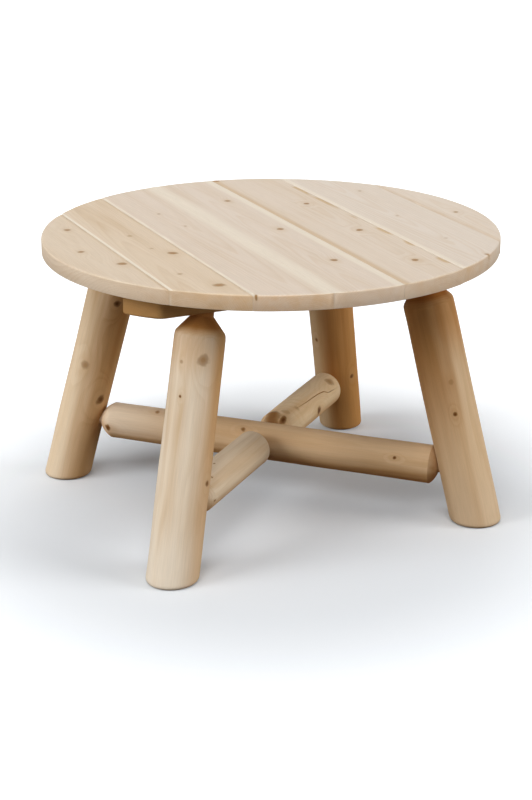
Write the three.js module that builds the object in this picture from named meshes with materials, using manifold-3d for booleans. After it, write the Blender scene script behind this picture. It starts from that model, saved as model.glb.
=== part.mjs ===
// A round rustic coffee table in pale peeled softwood.
// Seven boards make the round top. Two battens screwed under the boards take the tenons of four
// leaning log legs, and a cross of three log stretchers ties the legs together near the floor.
//
// Millimetres, +Z up, origin on the floor under the middle of the top.
// X runs along the battens and Y along the boards.

import * as THREE from 'three';
import * as BufferGeometryUtils from 'three/addons/utils/BufferGeometryUtils.js';
import Module from 'manifold-3d';

// Overall sizes
const table_height = 508;
const top_diameter = 806;

// Top boards, from the left rim to the right rim
const board_thickness = 27;
const board_width_shares = [0.1272, 0.134, 0.1495, 0.1548, 0.1618, 0.1809, 0.0918];
const seam_bevel = 3;
const rim_rounding = 3;

// Battens under the boards
const batten_depth = 38;
const batten_width = 63;
const batten_rim_inset = 26;
const batten_bevel = 2.5;
const batten_set_in = 6;

// Legs: the insets run in from the rim to the leg axes, at the floor and at the underside of the
// boards. Hand-set legs stray from there, and logs taper: a stray of 1 is the whole leg_stray, to
// +X and +Y, and a thickness of 1 is the whole leg_diameter.
const leg_diameter = 90;
const leg_foot_inset_x = 105;
const leg_foot_inset_y = 132.5;
const leg_top_inset_x = 205;
const leg_top_inset_y = 207;
const leg_stray = 16;
const leg_foot_stray_shares = {
  left: [-0.96, -0.62], front: [-0.49, 0.22], right: [-0.81, 0.5], back: [-0.91, 0.54] };
const leg_top_stray_shares = {
  left: [-0.29, 0.03], front: [-0.55, 0.14], right: [-0.375, 0.06], back: [-0.13, -0.03] };
const leg_foot_thickness_shares = { left: 0.95, front: 1, right: 1, back: 0.935 };
const leg_top_thickness_shares = { left: 0.98, front: 0.935, right: 0.985, back: 1 };
const leg_shoulder_drop = 74;
const leg_shoulder_angle = THREE.MathUtils.degToRad(40);
const leg_shoulder_rounding = 13;
const leg_tenon_diameter = 38;
const foot_rounding = 5;

// Stretchers: the heights are those of the log axes where they meet the leg axes. The long log
// thickens from the left leg to the right one.
const stretcher_diameter = 66.5;
const long_log_thickness_shares = { left: 1, right: 1.055 };
const stretcher_height_left = 119.5;
const stretcher_height_right = 97;
const stretcher_height_front = 119;
const stretcher_height_back = 105.5;
const stretcher_shoulder_angle = THREE.MathUtils.degToRad(60);
const stretcher_shoulder_rounding = 6;
const stretcher_tenon_diameter = 25;
const shoulder_standoff = 1;
const wood_behind_leg_mortise = 30;
const wood_between_cross_mortises = 14;

// Countersunk screws, up through the battens into the boards: how many each board gets on a batten.
// The two rim boards barely reach the battens and are held by their glued edges.
const screws_per_board = [0, 1, 2, 2, 2, 1, 0];
const screw_shank_diameter = 4.2;
const screw_head_diameter = 8.4;
const screw_head_height = 2.8;
const screw_head_rim = 0.5;
const screw_point_length = 7;
const screw_bite = 14;
const screw_edge_distance = 15;

// Clearance between touching pieces, and how far a cutting shape runs past what it cuts
const fit_gap = 0.3;
const overrun = 10;

// Facets
const rim_segments = 128;
const log_segments = 36;
const tenon_segments = 28;
const screw_segments = 12;
const rounding_steps = 3;

// Derived sizes
const top_radius = top_diameter / 2;
const boards_underside = table_height - board_thickness;
const batten_top = boards_underside - fit_gap;
const batten_underside = batten_top - batten_depth;
const leg_radius = leg_diameter / 2;
const leg_tenon_radius = leg_tenon_diameter / 2;
const stretcher_radius = stretcher_diameter / 2;
const stretcher_tenon_radius = stretcher_tenon_diameter / 2;

const wasm = await Module();
wasm.setup();

// Finishes
const board_colours = ['#e0cfbb', '#dcc6a6', '#e3d3c1', '#e2d2bd', '#ddc9ae', '#e6d9c8', '#e0cfba'];
const log_wood = new THREE.MeshStandardMaterial({ color: '#d0b794', roughness: 0.72, metalness: 0 });
const batten_wood = new THREE.MeshStandardMaterial({ color: '#c3a57b', roughness: 0.78, metalness: 0 });
const screw_steel = new THREE.MeshStandardMaterial({ color: '#b9a36a', roughness: 0.4, metalness: 1 });

// A closed three.js geometry as a solid, with shared vertices merged and empty triangles left out
function toSolid(geometry) {
  const bare = geometry.clone();
  bare.deleteAttribute('normal');
  bare.deleteAttribute('uv');
  const merged = BufferGeometryUtils.mergeVertices(bare);
  const corners = merged.index.array;
  const triangles = [];
  for (let i = 0; i < corners.length; i += 3) {
    const [a, b, c] = [corners[i], corners[i + 1], corners[i + 2]];
    if (a !== b && b !== c && c !== a) triangles.push(a, b, c);
  }
  return new wasm.Manifold(new wasm.Mesh({
    numProp: 3,
    vertProperties: new Float32Array(merged.attributes.position.array),
    triVerts: new Uint32Array(triangles),
  }));
}

function toGeometry(solid) {
  const mesh = solid.getMesh();
  const geometry = new THREE.BufferGeometry();
  geometry.setAttribute('position', new THREE.BufferAttribute(mesh.vertProperties, 3));
  geometry.setIndex(new THREE.BufferAttribute(mesh.triVerts, 1));
  geometry.computeVertexNormals();
  return geometry;
}

// A mesh whose own origin lies at a natural point of the piece
function makePart(name, solid, origin, material) {
  const geometry = toGeometry(solid);
  geometry.translate(-origin.x, -origin.y, -origin.z);
  const mesh = new THREE.Mesh(geometry, material);
  mesh.name = name;
  mesh.position.copy(origin);
  return mesh;
}

// Turns a profile of [distance along the axis, radius] round the +Z axis
function turned(profile, segments) {
  const points = profile.map(([along, radius]) => new THREE.Vector2(radius, along));
  return new THREE.LatheGeometry(points, segments).rotateX(Math.PI / 2);
}

// Moves a shape made along +Z so that it starts at a point and runs in a direction
function aim(geometry, start, direction) {
  const turn = new THREE.Quaternion().setFromUnitVectors(new THREE.Vector3(0, 0, 1), direction);
  return geometry.applyQuaternion(turn).translate(start.x, start.y, start.z);
}

// A round bar between two distances along a line, used to bore a mortise
function boring(line, near, far, radius) {
  const bar = turned([[near, 0], [near, radius], [far, radius], [far, 0]], tenon_segments);
  return toSolid(aim(bar, line.start, line.direction));
}

// The quarter curves of a rounded edge, from one angle to another round a centre
function arcPoints(centre_along, centre_radius, rounding, from_angle, to_angle) {
  const points = [];
  for (let i = 0; i <= rounding_steps; i += 1) {
    const angle = THREE.MathUtils.lerp(from_angle, to_angle, i / rounding_steps);
    points.push([centre_along + rounding * Math.cos(angle), centre_radius + rounding * Math.sin(angle)]);
  }
  return points;
}

// The shoulder that a tenon cutter leaves: a cone from the tenon out to the log, softened where it
// meets the bark side. Distances run from the small end of the cone into the log.
function shoulderProfile(log_radius, tenon_radius, cone_angle, rounding) {
  const cone_length = (log_radius - tenon_radius) / Math.tan(cone_angle);
  const arc_centre = cone_length + rounding * Math.tan(cone_angle / 2);
  const arc = arcPoints(arc_centre, log_radius - rounding, rounding, Math.PI / 2 + cone_angle, Math.PI / 2);
  return [[0, tenon_radius], ...arc];
}

const mirrored = (profile, end) => profile.map(([along, radius]) => [end - along, radius]).reverse();

// Lines through the middles of the legs. Each leans in towards the middle of the table.
const leg_corners = {
  left: { side_x: -1, side_y: 1, joint_height: stretcher_height_left },
  front: { side_x: -1, side_y: -1, joint_height: stretcher_height_front },
  right: { side_x: 1, side_y: -1, joint_height: stretcher_height_right },
  back: { side_x: 1, side_y: 1, joint_height: stretcher_height_back },
};

function legEnd(corner, inset_x, inset_y, [stray_share_x, stray_share_y], height) {
  const { side_x, side_y } = leg_corners[corner];
  return new THREE.Vector3(
    side_x * (top_radius - inset_x) + stray_share_x * leg_stray,
    side_y * (top_radius - inset_y) + stray_share_y * leg_stray,
    height);
}

function legLine(corner) {
  const start = legEnd(corner, leg_foot_inset_x, leg_foot_inset_y, leg_foot_stray_shares[corner], 0);
  const end = legEnd(
    corner, leg_top_inset_x, leg_top_inset_y, leg_top_stray_shares[corner], boards_underside);
  return { start, direction: end.sub(start).normalize() };
}

function atHeight(line, height) {
  const distance = (height - line.start.z) / line.direction.z;
  return line.start.clone().addScaledVector(line.direction, distance);
}

const leg_lines = Object.fromEntries(
  Object.keys(leg_corners).map((corner) => [corner, legLine(corner)]));

// The radius of a leg at a height
function legRadius(corner, height) {
  const foot_share = leg_foot_thickness_shares[corner];
  const top_share = leg_top_thickness_shares[corner];
  return leg_radius * THREE.MathUtils.lerp(foot_share, top_share, height / boards_underside);
}

function lineBetween(start, end) {
  const direction = end.clone().sub(start).normalize();
  return { start, direction, length: start.distanceTo(end) };
}

const jointPoint = (corner) => atHeight(leg_lines[corner], leg_corners[corner].joint_height);
const long_line = lineBetween(jointPoint('left'), jointPoint('right'));
const cross_line = lineBetween(jointPoint('front'), jointPoint('back'));

// Distance along one line to the point where it passes closest to another
function closestAlong(line, other) {
  const offset = other.start.clone().sub(line.start);
  const parallel = line.direction.dot(other.direction);
  const along = offset.dot(line.direction) - parallel * offset.dot(other.direction);
  return along / (1 - parallel * parallel);
}

const crossing_along = closestAlong(cross_line, long_line);
const long_log_radii = {
  left: stretcher_radius * long_log_thickness_shares.left,
  right: stretcher_radius * long_log_thickness_shares.right,
  crossing: stretcher_radius * THREE.MathUtils.lerp(
    long_log_thickness_shares.left, long_log_thickness_shares.right,
    closestAlong(long_line, cross_line) / long_line.length),
};

// How far from the axis of a round log a stretcher's shoulder starts, when it meets that log aslant
function shoulderSeat(log_radius, line, log_direction) {
  const slant = Math.abs(line.direction.dot(log_direction));
  const squareness = Math.sqrt(1 - slant * slant);
  return (log_radius + stretcher_tenon_radius * slant) / squareness + shoulder_standoff;
}

// The seats of a stretcher's two ends: where its shoulder starts and where its tenon ends,
// both measured from the axis of the log that it enters
function legSeat(line, corner) {
  const radius = legRadius(corner, leg_corners[corner].joint_height);
  return {
    shoulder: shoulderSeat(radius, line, leg_lines[corner].direction),
    tenon: wood_behind_leg_mortise - radius,
  };
}

const crossingSeat = () => ({
  shoulder: shoulderSeat(long_log_radii.crossing, cross_line, long_line.direction),
  tenon: wood_between_cross_mortises / 2,
});

// Round blank for the top, with the rim's two edges rounded over
function topBlank() {
  const centre_radius = top_radius - rim_rounding;
  const lower = arcPoints(boards_underside + rim_rounding, centre_radius, rim_rounding, Math.PI, Math.PI / 2);
  const upper = arcPoints(table_height - rim_rounding, centre_radius, rim_rounding, Math.PI / 2, 0);
  return toSolid(turned([[boards_underside, 0], ...lower, ...upper, [table_height, 0]], rim_segments));
}

// Each board's two sides across the top, with half the seam's gap taken off where a neighbour lies
function boardSides() {
  let left = -top_radius;
  return board_width_shares.map((share, index) => {
    const right = left + share * top_diameter;
    const first = index === 0;
    const last = index === board_width_shares.length - 1;
    const sides = { left: left + (first ? 0 : fit_gap / 2), right: right - (last ? 0 : fit_gap / 2) };
    left = right;
    return sides;
  });
}

// The space of one board: a planed length with its upper edges bevelled, so each seam shows a vee
function boardSpace({ left, right }) {
  const bevel_reach = seam_bevel + overrun;
  const outline = new THREE.Shape([
    new THREE.Vector2(left, boards_underside - overrun),
    new THREE.Vector2(right, boards_underside - overrun),
    new THREE.Vector2(right, table_height - seam_bevel),
    new THREE.Vector2(right - bevel_reach, table_height - seam_bevel + bevel_reach),
    new THREE.Vector2(left + bevel_reach, table_height - seam_bevel + bevel_reach),
    new THREE.Vector2(left, table_height - seam_bevel),
  ]);
  const length = top_diameter + 2 * overrun;
  const prism = new THREE.ExtrudeGeometry(outline, { depth: length, bevelEnabled: false });
  return toSolid(prism.rotateX(Math.PI / 2).translate(0, length / 2, 0));
}

// Where a batten lies: under the tenons of the two legs on its side, a little nearer the middle
function battenMiddle(corner) {
  const tenon_middle = atHeight(leg_lines[corner], batten_underside + batten_depth / 2);
  return tenon_middle.y - leg_corners[corner].side_y * batten_set_in;
}

// Outline in plan: two straight sides, and ends sawn to an arc that follows the rim
function battenBlank(middle_y) {
  const end_radius = top_radius - batten_rim_inset;
  const [low_y, high_y] = [middle_y - batten_width / 2, middle_y + batten_width / 2];
  const low_angle = Math.asin(low_y / end_radius);
  const high_angle = Math.asin(high_y / end_radius);
  const outline = new THREE.Shape();
  outline.absarc(0, 0, end_radius, low_angle, high_angle, false);
  outline.absarc(0, 0, end_radius, Math.PI - high_angle, Math.PI - low_angle, false);
  outline.closePath();
  const blank = new THREE.ExtrudeGeometry(outline, {
    depth: batten_depth - 2 * batten_bevel,
    bevelSize: batten_bevel,
    bevelThickness: batten_bevel,
    bevelOffset: -batten_bevel,
    bevelSegments: 1,
    curveSegments: rounding_steps,
  });
  return toSolid(blank.translate(0, 0, batten_underside + batten_bevel));
}

// A screw from its head's flat face upwards. Grown by the fit gap, it is the space that it needs.
function screwProfile(growth, mouth) {
  const shank = screw_shank_diameter / 2 + growth;
  const head = screw_head_diameter / 2 + growth;
  const length = batten_depth + fit_gap + screw_bite + growth;
  return [
    [-mouth, 0],
    [-mouth, head],
    [screw_head_rim, head],
    [screw_head_height + growth, shank],
    [length - screw_point_length, shank],
    [length, 0],
  ];
}

function screwSolid(place, growth, mouth) {
  const body = turned(screwProfile(growth, mouth), screw_segments);
  return toSolid(body.translate(place.x, place.y, place.z));
}

// The stretch along X that a leg's tenon takes up in its batten, with the wood that screws leave round it
function tenonStretch(corner) {
  const ends = [batten_underside, batten_top].map((height) => atHeight(leg_lines[corner], height).x);
  const clear = leg_tenon_radius + screw_edge_distance;
  return { low: Math.min(...ends) - clear, high: Math.max(...ends) + clear };
}

// Screw places along a batten. The tenons part it into a middle stretch, for the boards with two
// screws, and two outer ones. Each board's screws share out the width that it has on its stretch.
function screwPlaces(middle_y, corners, sides) {
  const end_radius = top_radius - batten_rim_inset;
  const batten_reach = Math.sqrt(end_radius ** 2 - (Math.abs(middle_y) + batten_width / 2) ** 2);
  const outer_end = batten_reach - screw_edge_distance;
  const [left_tenon, right_tenon] = corners.map(tenonStretch);
  const stretches = {
    left: [-outer_end, left_tenon.low],
    middle: [left_tenon.high, right_tenon.low],
    right: [right_tenon.high, outer_end],
  };
  const places = [];
  sides.forEach(({ left, right }, board) => {
    const count = screws_per_board[board];
    const outer = left + right < 0 ? 'left' : 'right';
    const [near, far] = stretches[count > 1 ? 'middle' : outer];
    const [low, high] = [Math.max(left, near), Math.min(right, far)];
    for (let i = 0; i < count; i += 1) {
      const x = THREE.MathUtils.lerp(low, high, (i + 0.5) / count);
      places.push({ board, at: new THREE.Vector3(x, middle_y, batten_underside) });
    }
  });
  return places;
}

// A leg before its mortise is bored: a log with a shouldered tenon on top, leaning, then trimmed
// level at the floor and at the upper face of the batten
function legBlank(corner) {
  const { start, direction } = leg_lines[corner];
  const foot_radius = legRadius(corner, 0);
  const top_end_radius = legRadius(corner, boards_underside - leg_shoulder_drop);
  const lean_reach = leg_radius * Math.hypot(direction.x, direction.y) / direction.z;
  const shoulder_end = (boards_underside - leg_shoulder_drop) / direction.z;
  const cut_end = batten_top / direction.z;
  const shoulder = shoulderProfile(
    top_end_radius, leg_tenon_radius, leg_shoulder_angle, leg_shoulder_rounding);
  const cone_length = (top_end_radius - leg_tenon_radius) / Math.tan(leg_shoulder_angle);
  const log = turned([
    [-lean_reach - overrun, 0],
    [-lean_reach - overrun, foot_radius],
    ...mirrored(shoulder, shoulder_end + cone_length),
    [cut_end + lean_reach + overrun, leg_tenon_radius],
    [cut_end + lean_reach + overrun, 0],
  ], log_segments);
  return toSolid(aim(log, start, direction)).intersect(legTrim(leg_lines[corner], foot_radius));
}

// What a level saw cut and a softened foot leave of a leg: a sheared upright shape round its line
function legTrim({ start, direction }, foot_radius) {
  const wide = leg_radius + overrun;
  const edge = arcPoints(foot_rounding, foot_radius - foot_rounding, foot_rounding, Math.PI, 0.6 * Math.PI);
  const trim = turned(
    [[0, 0], ...edge, [foot_rounding + overrun, wide], [batten_top, wide], [batten_top, 0]], log_segments);
  const lean_heading = Math.atan2(direction.y, direction.x);
  trim.rotateZ(-lean_heading).scale(1 / direction.z, 1, 1).rotateZ(lean_heading);
  const shear = new THREE.Matrix4().makeShear(
    0, 0, 0, 0, direction.x / direction.z, direction.y / direction.z);
  return toSolid(trim.applyMatrix4(shear).translate(start.x, start.y, start.z));
}

// The shoulder of a stretcher's end, given the log's radius there
function stretcherShoulder({ radius }) {
  return shoulderProfile(radius, stretcher_tenon_radius, stretcher_shoulder_angle, stretcher_shoulder_rounding);
}

// A stretcher log along a line, with a shouldered tenon at each end
function stretcherBlank(line, start, end) {
  const from_start = stretcherShoulder(start).map(
    ([along, radius]) => [start.at + start.seat.shoulder + along, radius]);
  const log = turned([
    [start.at + start.seat.tenon, 0],
    [start.at + start.seat.tenon, stretcher_tenon_radius],
    ...from_start,
    ...mirrored(stretcherShoulder(end), end.at - end.seat.shoulder),
    [end.at - end.seat.tenon, stretcher_tenon_radius],
    [end.at - end.seat.tenon, 0],
  ], log_segments);
  return toSolid(aim(log, line.start, line.direction));
}

// The mortises for a stretcher's two ends, as solids to take out of the logs that it enters
function mortise(line, at, seat, side) {
  const floor_end = at + side * (seat.tenon - fit_gap);
  const mouth_end = at + side * (seat.shoulder + fit_gap);
  const [near, far] = side > 0 ? [floor_end, mouth_end] : [mouth_end, floor_end];
  return boring(line, near, far, stretcher_tenon_radius + fit_gap);
}

// Base: legs and stretchers
const base = new THREE.Group();
const long_seats = { start: legSeat(long_line, 'left'), end: legSeat(long_line, 'right') };
const cross_seats = { start: legSeat(cross_line, 'front'), end: legSeat(cross_line, 'back') };
const leg_mortises = {
  left: mortise(long_line, 0, long_seats.start, 1),
  right: mortise(long_line, long_line.length, long_seats.end, -1),
  front: mortise(cross_line, 0, cross_seats.start, 1),
  back: mortise(cross_line, cross_line.length, cross_seats.end, -1),
};
for (const [corner, line] of Object.entries(leg_lines)) {
  base.add(makePart(`leg_${corner}`, legBlank(corner).subtract(leg_mortises[corner]), line.start, log_wood));
}

const long_log = stretcherBlank(
  long_line,
  { at: 0, seat: long_seats.start, radius: long_log_radii.left },
  { at: long_line.length, seat: long_seats.end, radius: long_log_radii.right });
const bored_long_log = long_log
  .subtract(mortise(cross_line, crossing_along, crossingSeat(), -1))
  .subtract(mortise(cross_line, crossing_along, crossingSeat(), 1));
base.add(makePart('stretcher_long', bored_long_log, long_line.start, log_wood));

const crossing_end = { at: crossing_along, seat: crossingSeat(), radius: stretcher_radius };
const front_log = stretcherBlank(
  cross_line, { at: 0, seat: cross_seats.start, radius: stretcher_radius }, crossing_end);
base.add(makePart('stretcher_front', front_log, cross_line.start, log_wood));
const back_log = stretcherBlank(
  cross_line, crossing_end, { at: cross_line.length, seat: cross_seats.end, radius: stretcher_radius });
base.add(makePart('stretcher_back', back_log, jointPoint('back'), log_wood));

// Top: boards, battens and the screws that hold them together
const top = new THREE.Group();
const sides = boardSides();
const batten_sides = {
  front: { corners: ['front', 'right'], middle_y: battenMiddle('front') },
  back: { corners: ['left', 'back'], middle_y: battenMiddle('back') },
};
const screw_holes = sides.map(() => []);

for (const [side, { corners, middle_y }] of Object.entries(batten_sides)) {
  let batten = battenBlank(middle_y);
  for (const corner of corners) {
    const reach = table_height / leg_lines[corner].direction.z;
    batten = batten.subtract(boring(leg_lines[corner], 0, reach, leg_tenon_radius + fit_gap));
  }
  screwPlaces(middle_y, corners, sides).forEach(({ board, at }, index) => {
    const hole = screwSolid(at, fit_gap, overrun);
    batten = batten.subtract(hole);
    screw_holes[board].push(hole);
    const screw = screwSolid(new THREE.Vector3(0, 0, 0), 0, 0);
    const mesh = makePart(`screw_${side}_${index + 1}`, screw, new THREE.Vector3(0, 0, 0), screw_steel);
    mesh.position.copy(at);
    top.add(mesh);
  });
  const origin = new THREE.Vector3(0, middle_y, batten_underside);
  top.add(makePart(`batten_${side}`, batten, origin, batten_wood));
}

const blank = topBlank();
sides.forEach((board, index) => {
  let solid = blank.intersect(boardSpace(board));
  for (const hole of screw_holes[index]) solid = solid.subtract(hole);
  const material = new THREE.MeshStandardMaterial({
    color: board_colours[index], roughness: 0.68, metalness: 0 });
  const origin = new THREE.Vector3((board.left + board.right) / 2, 0, boards_underside);
  top.add(makePart(`board_${index + 1}`, solid, origin, material));
});

const group = new THREE.Group();
group.add(base, top);

export default group;
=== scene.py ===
# %% [markdown]
# # A round coffee table of planks and peeled logs
# The table has seven softwood boards in a round top, two battens under them, four leaning log legs
# and a cross of log stretchers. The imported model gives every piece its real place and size. This
# notebook gives each piece the surface of real wood around that fixed frame: rounded arrises,
# logs that swell and waver, knots, growth rings and a drying check.

# %% Load the fixed frame
import math
import bpy
from mathutils import Matrix, Quaternion, Vector, noise


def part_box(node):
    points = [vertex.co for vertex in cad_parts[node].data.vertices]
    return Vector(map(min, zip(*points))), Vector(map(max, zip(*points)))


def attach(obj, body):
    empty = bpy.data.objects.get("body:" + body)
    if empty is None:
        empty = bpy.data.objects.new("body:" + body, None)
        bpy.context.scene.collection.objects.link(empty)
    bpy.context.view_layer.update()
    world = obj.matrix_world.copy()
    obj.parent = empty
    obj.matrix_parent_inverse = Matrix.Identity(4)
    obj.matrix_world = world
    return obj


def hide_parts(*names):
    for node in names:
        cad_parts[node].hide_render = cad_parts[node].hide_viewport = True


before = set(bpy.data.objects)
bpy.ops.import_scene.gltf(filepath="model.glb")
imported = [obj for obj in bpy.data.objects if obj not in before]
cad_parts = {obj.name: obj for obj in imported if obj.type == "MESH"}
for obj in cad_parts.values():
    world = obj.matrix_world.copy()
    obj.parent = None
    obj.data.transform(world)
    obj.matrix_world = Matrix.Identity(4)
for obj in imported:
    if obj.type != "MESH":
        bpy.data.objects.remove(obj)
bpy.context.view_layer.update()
MM = 0.001

# %% [markdown]
# ## Camera
# A long lens looks down on the table by twenty degrees from its front left corner. A camera can be
# aimed by eye or by a constraint. Here its place, its direction and its lens are plain numbers,
# solved from the rim, the seams and the feet, so nothing has to be shifted.

# %% Camera
camera_place = Vector((-1.2990, -2.8547, 1.3288))
camera_look = Vector((0.386373, 0.856525, -0.342171))
camera_roll = math.radians(-0.2086)
focal_length = 81.83
sensor_width = 36

camera = bpy.data.objects.new("camera", bpy.data.cameras.new("camera"))
camera.data.lens = focal_length
camera.data.sensor_width = sensor_width
camera.location = camera_place
camera.rotation_mode = "QUATERNION"
camera.rotation_quaternion = camera_look.to_track_quat("-Z", "Y") @ Quaternion((0, 0, 1), camera_roll)
bpy.context.scene.collection.objects.link(camera)
bpy.context.scene.camera = camera
print("camera looks down by", round(math.degrees(math.asin(-camera_look.normalized().z)), 1), "degrees")

# %% [markdown]
# ## Building nodes in a few words
# A material is a small program of nodes. It could be drawn by hand in the shader editor, but this
# table needs one for every stick of wood, so it is written down. `place_node` adds a node and fills
# its inputs, and `place_group` does the same for a node group. `calc` and `calc_vector` do
# arithmetic, `part_along` takes one coordinate out of a vector, and `from_axis` measures the
# distance from the grain's axis.

# %% Helpers that place nodes
def place_node(tree, kind, inputs=None, **settings):
    """Adds a node, sets its options and fills its inputs with sockets or plain values."""
    node = tree.nodes.new(kind)
    for option, value in settings.items():
        setattr(node, option, value)
    for name, value in (inputs or {}).items():
        if isinstance(value, bpy.types.NodeSocket):
            tree.links.new(value, node.inputs[name])
        else:
            node.inputs[name].default_value = value
    return node


def place_group(tree, group, inputs):
    return place_node(tree, "ShaderNodeGroup", inputs, node_tree=group)


def calc(tree, operation, first, second=0.0):
    node = place_node(tree, "ShaderNodeMath", {0: first, 1: second}, operation=operation)
    return node.outputs[0]


def calc_vector(tree, operation, first, second=(0.0, 0.0, 0.0)):
    node = place_node(tree, "ShaderNodeVectorMath", {0: first, 1: second}, operation=operation)
    return node.outputs["Value" if operation in ("LENGTH", "DOT_PRODUCT") else "Vector"]


def part_along(tree, vector, axis):
    return place_node(tree, "ShaderNodeSeparateXYZ", {"Vector": vector}).outputs[axis]


def from_axis(tree, point):
    return calc_vector(tree, "LENGTH", calc_vector(tree, "MULTIPLY", point, (1.0, 1.0, 0.0)))


print("node helpers are ready")

# %% [markdown]
# ## Masks and colours
# A mask is a number from 0 to 1 that says how much of an effect a place gets. A Color Ramp node
# could shape it, but its stops can't be linked, so `ramp_between` uses a Map Range node as a soft
# step. `blend_colour` and `tinted` lay one colour over another by a mask, and `strongest` joins
# several masks into one.

# %% Helpers for masks and colours
def ramp_between(tree, value, low, high, from_value=0.0, to_value=1.0):
    """A soft step from one value to another while the input goes from low to high."""
    inputs = {"Value": value, "From Min": low, "From Max": high, "To Min": from_value, "To Max": to_value}
    return place_node(tree, "ShaderNodeMapRange", inputs, interpolation_type="SMOOTHSTEP").outputs["Result"]


def blend_colour(tree, mask, first, second, blend_type="MIX"):
    """The colour sockets of a Mix node are its inputs 6 and 7 and its output 2."""
    node = place_node(tree, "ShaderNodeMix", {0: mask, 6: first, 7: second},
                      data_type="RGBA", blend_type=blend_type)
    return node.outputs[2]


def tinted(tree, mask, colour, tint):
    """The colour multiplied by a tint where the mask is, which is how a stain darkens wood."""
    return blend_colour(tree, mask, colour, tint, "MULTIPLY")


def strongest(tree, masks):
    """The highest of several masks."""
    top = masks[0]
    for mask in masks[1:]:
        top = calc(tree, "MAXIMUM", top, mask)
    return top


print("mask and colour helpers are ready")

# %% [markdown]
# ## Noise along the grain, and groups
# Everything in wood is long in one direction, so each piece has Z along its grain and the noise is
# drawn out that way. An effect that every piece needs could be copied into each material. A node
# group with named inputs is built once instead, and placed in each material with its own values.

# %% Helpers for noise and node groups
NUMBER = "NodeSocketFloat"
VECTOR = "NodeSocketVector"
COLOUR = "NodeSocketColor"


def grain_noise(tree, point, squash, scale, detail=2.0, seed=0.0):
    """Noise that is drawn out along the grain: squash is how much of Z is kept."""
    stretched = calc_vector(tree, "MULTIPLY", point, (1.0, 1.0, squash))
    inputs = {"Vector": stretched, "W": seed, "Scale": scale, "Detail": detail}
    return place_node(tree, "ShaderNodeTexNoise", inputs, noise_dimensions="4D").outputs["Fac"]


def swing(tree, width, point, squash, scale, detail=2.0, seed=0.0):
    """The same noise, moved so that it swings about zero over the given width."""
    drawn_out = grain_noise(tree, point, squash, scale, detail, seed)
    return calc(tree, "MULTIPLY", calc(tree, "SUBTRACT", drawn_out, 0.5), width)


def new_group(name, inputs, outputs):
    """A shader node group with named sockets. Each input is a name, a kind and a starting value."""
    group = bpy.data.node_groups.new(name, "ShaderNodeTree")
    for socket_name, kind, value in inputs:
        socket = group.interface.new_socket(socket_name, in_out="INPUT", socket_type=kind)
        socket.default_value = value
    for socket_name, kind in outputs:
        group.interface.new_socket(socket_name, in_out="OUTPUT", socket_type=kind)
    start = group.nodes.new("NodeGroupInput").outputs
    end = group.nodes.new("NodeGroupOutput").inputs
    return group, start, end


print("noise and group helpers are ready")

# %% [markdown]
# ## Growth rings
# A tree adds one layer a year: wide pale early wood, then a thin browner line of late wood. Any
# sawn or peeled face shows where it cuts through those layers. Lines could be painted on each
# face, but then edge and end wouldn't agree with it, so the rings are drawn in space round the
# pith. The same group gives cathedrals on a board's face, arcs on its end and circles on a
# tenon's shoulder. `Swell` bulges the layers where a branch grew.

# %% Node group: growth rings
RIPPLE = 1.6 * MM
GOOD_AND_BAD_YEARS = 1.3


def growth_rings_group():
    group, start, end = new_group(
        "growth rings",
        [("Point", VECTOR, (0, 0, 0)), ("Ring Width", NUMBER, 0.0025), ("Wander", NUMBER, 0.004),
         ("Swell", NUMBER, 0.0), ("Seed", NUMBER, 0.0)],
        [("Late Wood", NUMBER)])
    point, seed = start["Point"], start["Seed"]
    drift = swing(group, start["Wander"], point, squash=0.16, scale=11.0, seed=seed)
    ripple = swing(group, RIPPLE, point, squash=0.10, scale=75.0, detail=1.0, seed=seed)
    bent = calc(group, "ADD", calc(group, "ADD", from_axis(group, point), drift),
                calc(group, "ADD", ripple, start["Swell"]))
    years = calc(group, "DIVIDE", bent, start["Ring Width"])
    growth = place_node(group, "ShaderNodeTexNoise", {"W": years, "Scale": 0.45, "Detail": 1.0},
                        noise_dimensions="1D").outputs["Fac"]
    years = calc(group, "ADD", years, calc(group, "MULTIPLY", growth, GOOD_AND_BAD_YEARS))
    season = calc(group, "FRACT", years)
    rise = ramp_between(group, season, 0.35, 0.86)
    fall = ramp_between(group, season, 0.90, 1.0, 1.0, 0.0)
    group.links.new(calc(group, "MULTIPLY", rise, fall), end["Late Wood"])
    return group


growth_rings = growth_rings_group()
print("group:", growth_rings.name, "with", len(growth_rings.nodes), "nodes")

# %% [markdown]
# ## Knots
# A knot is a branch that the trunk has grown round, so it is a round bar of darker, harder wood
# that runs outwards. A dark spot could be painted on the face, but it would miss the edge and the
# end. The group measures how far a point is from that bar instead. Near it the core is dark, its
# rim is darkest, and a halo of tan wood lies round it. Cut square the bar shows as a disc, and cut
# aslant as an oval, with no change to the group.

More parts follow.
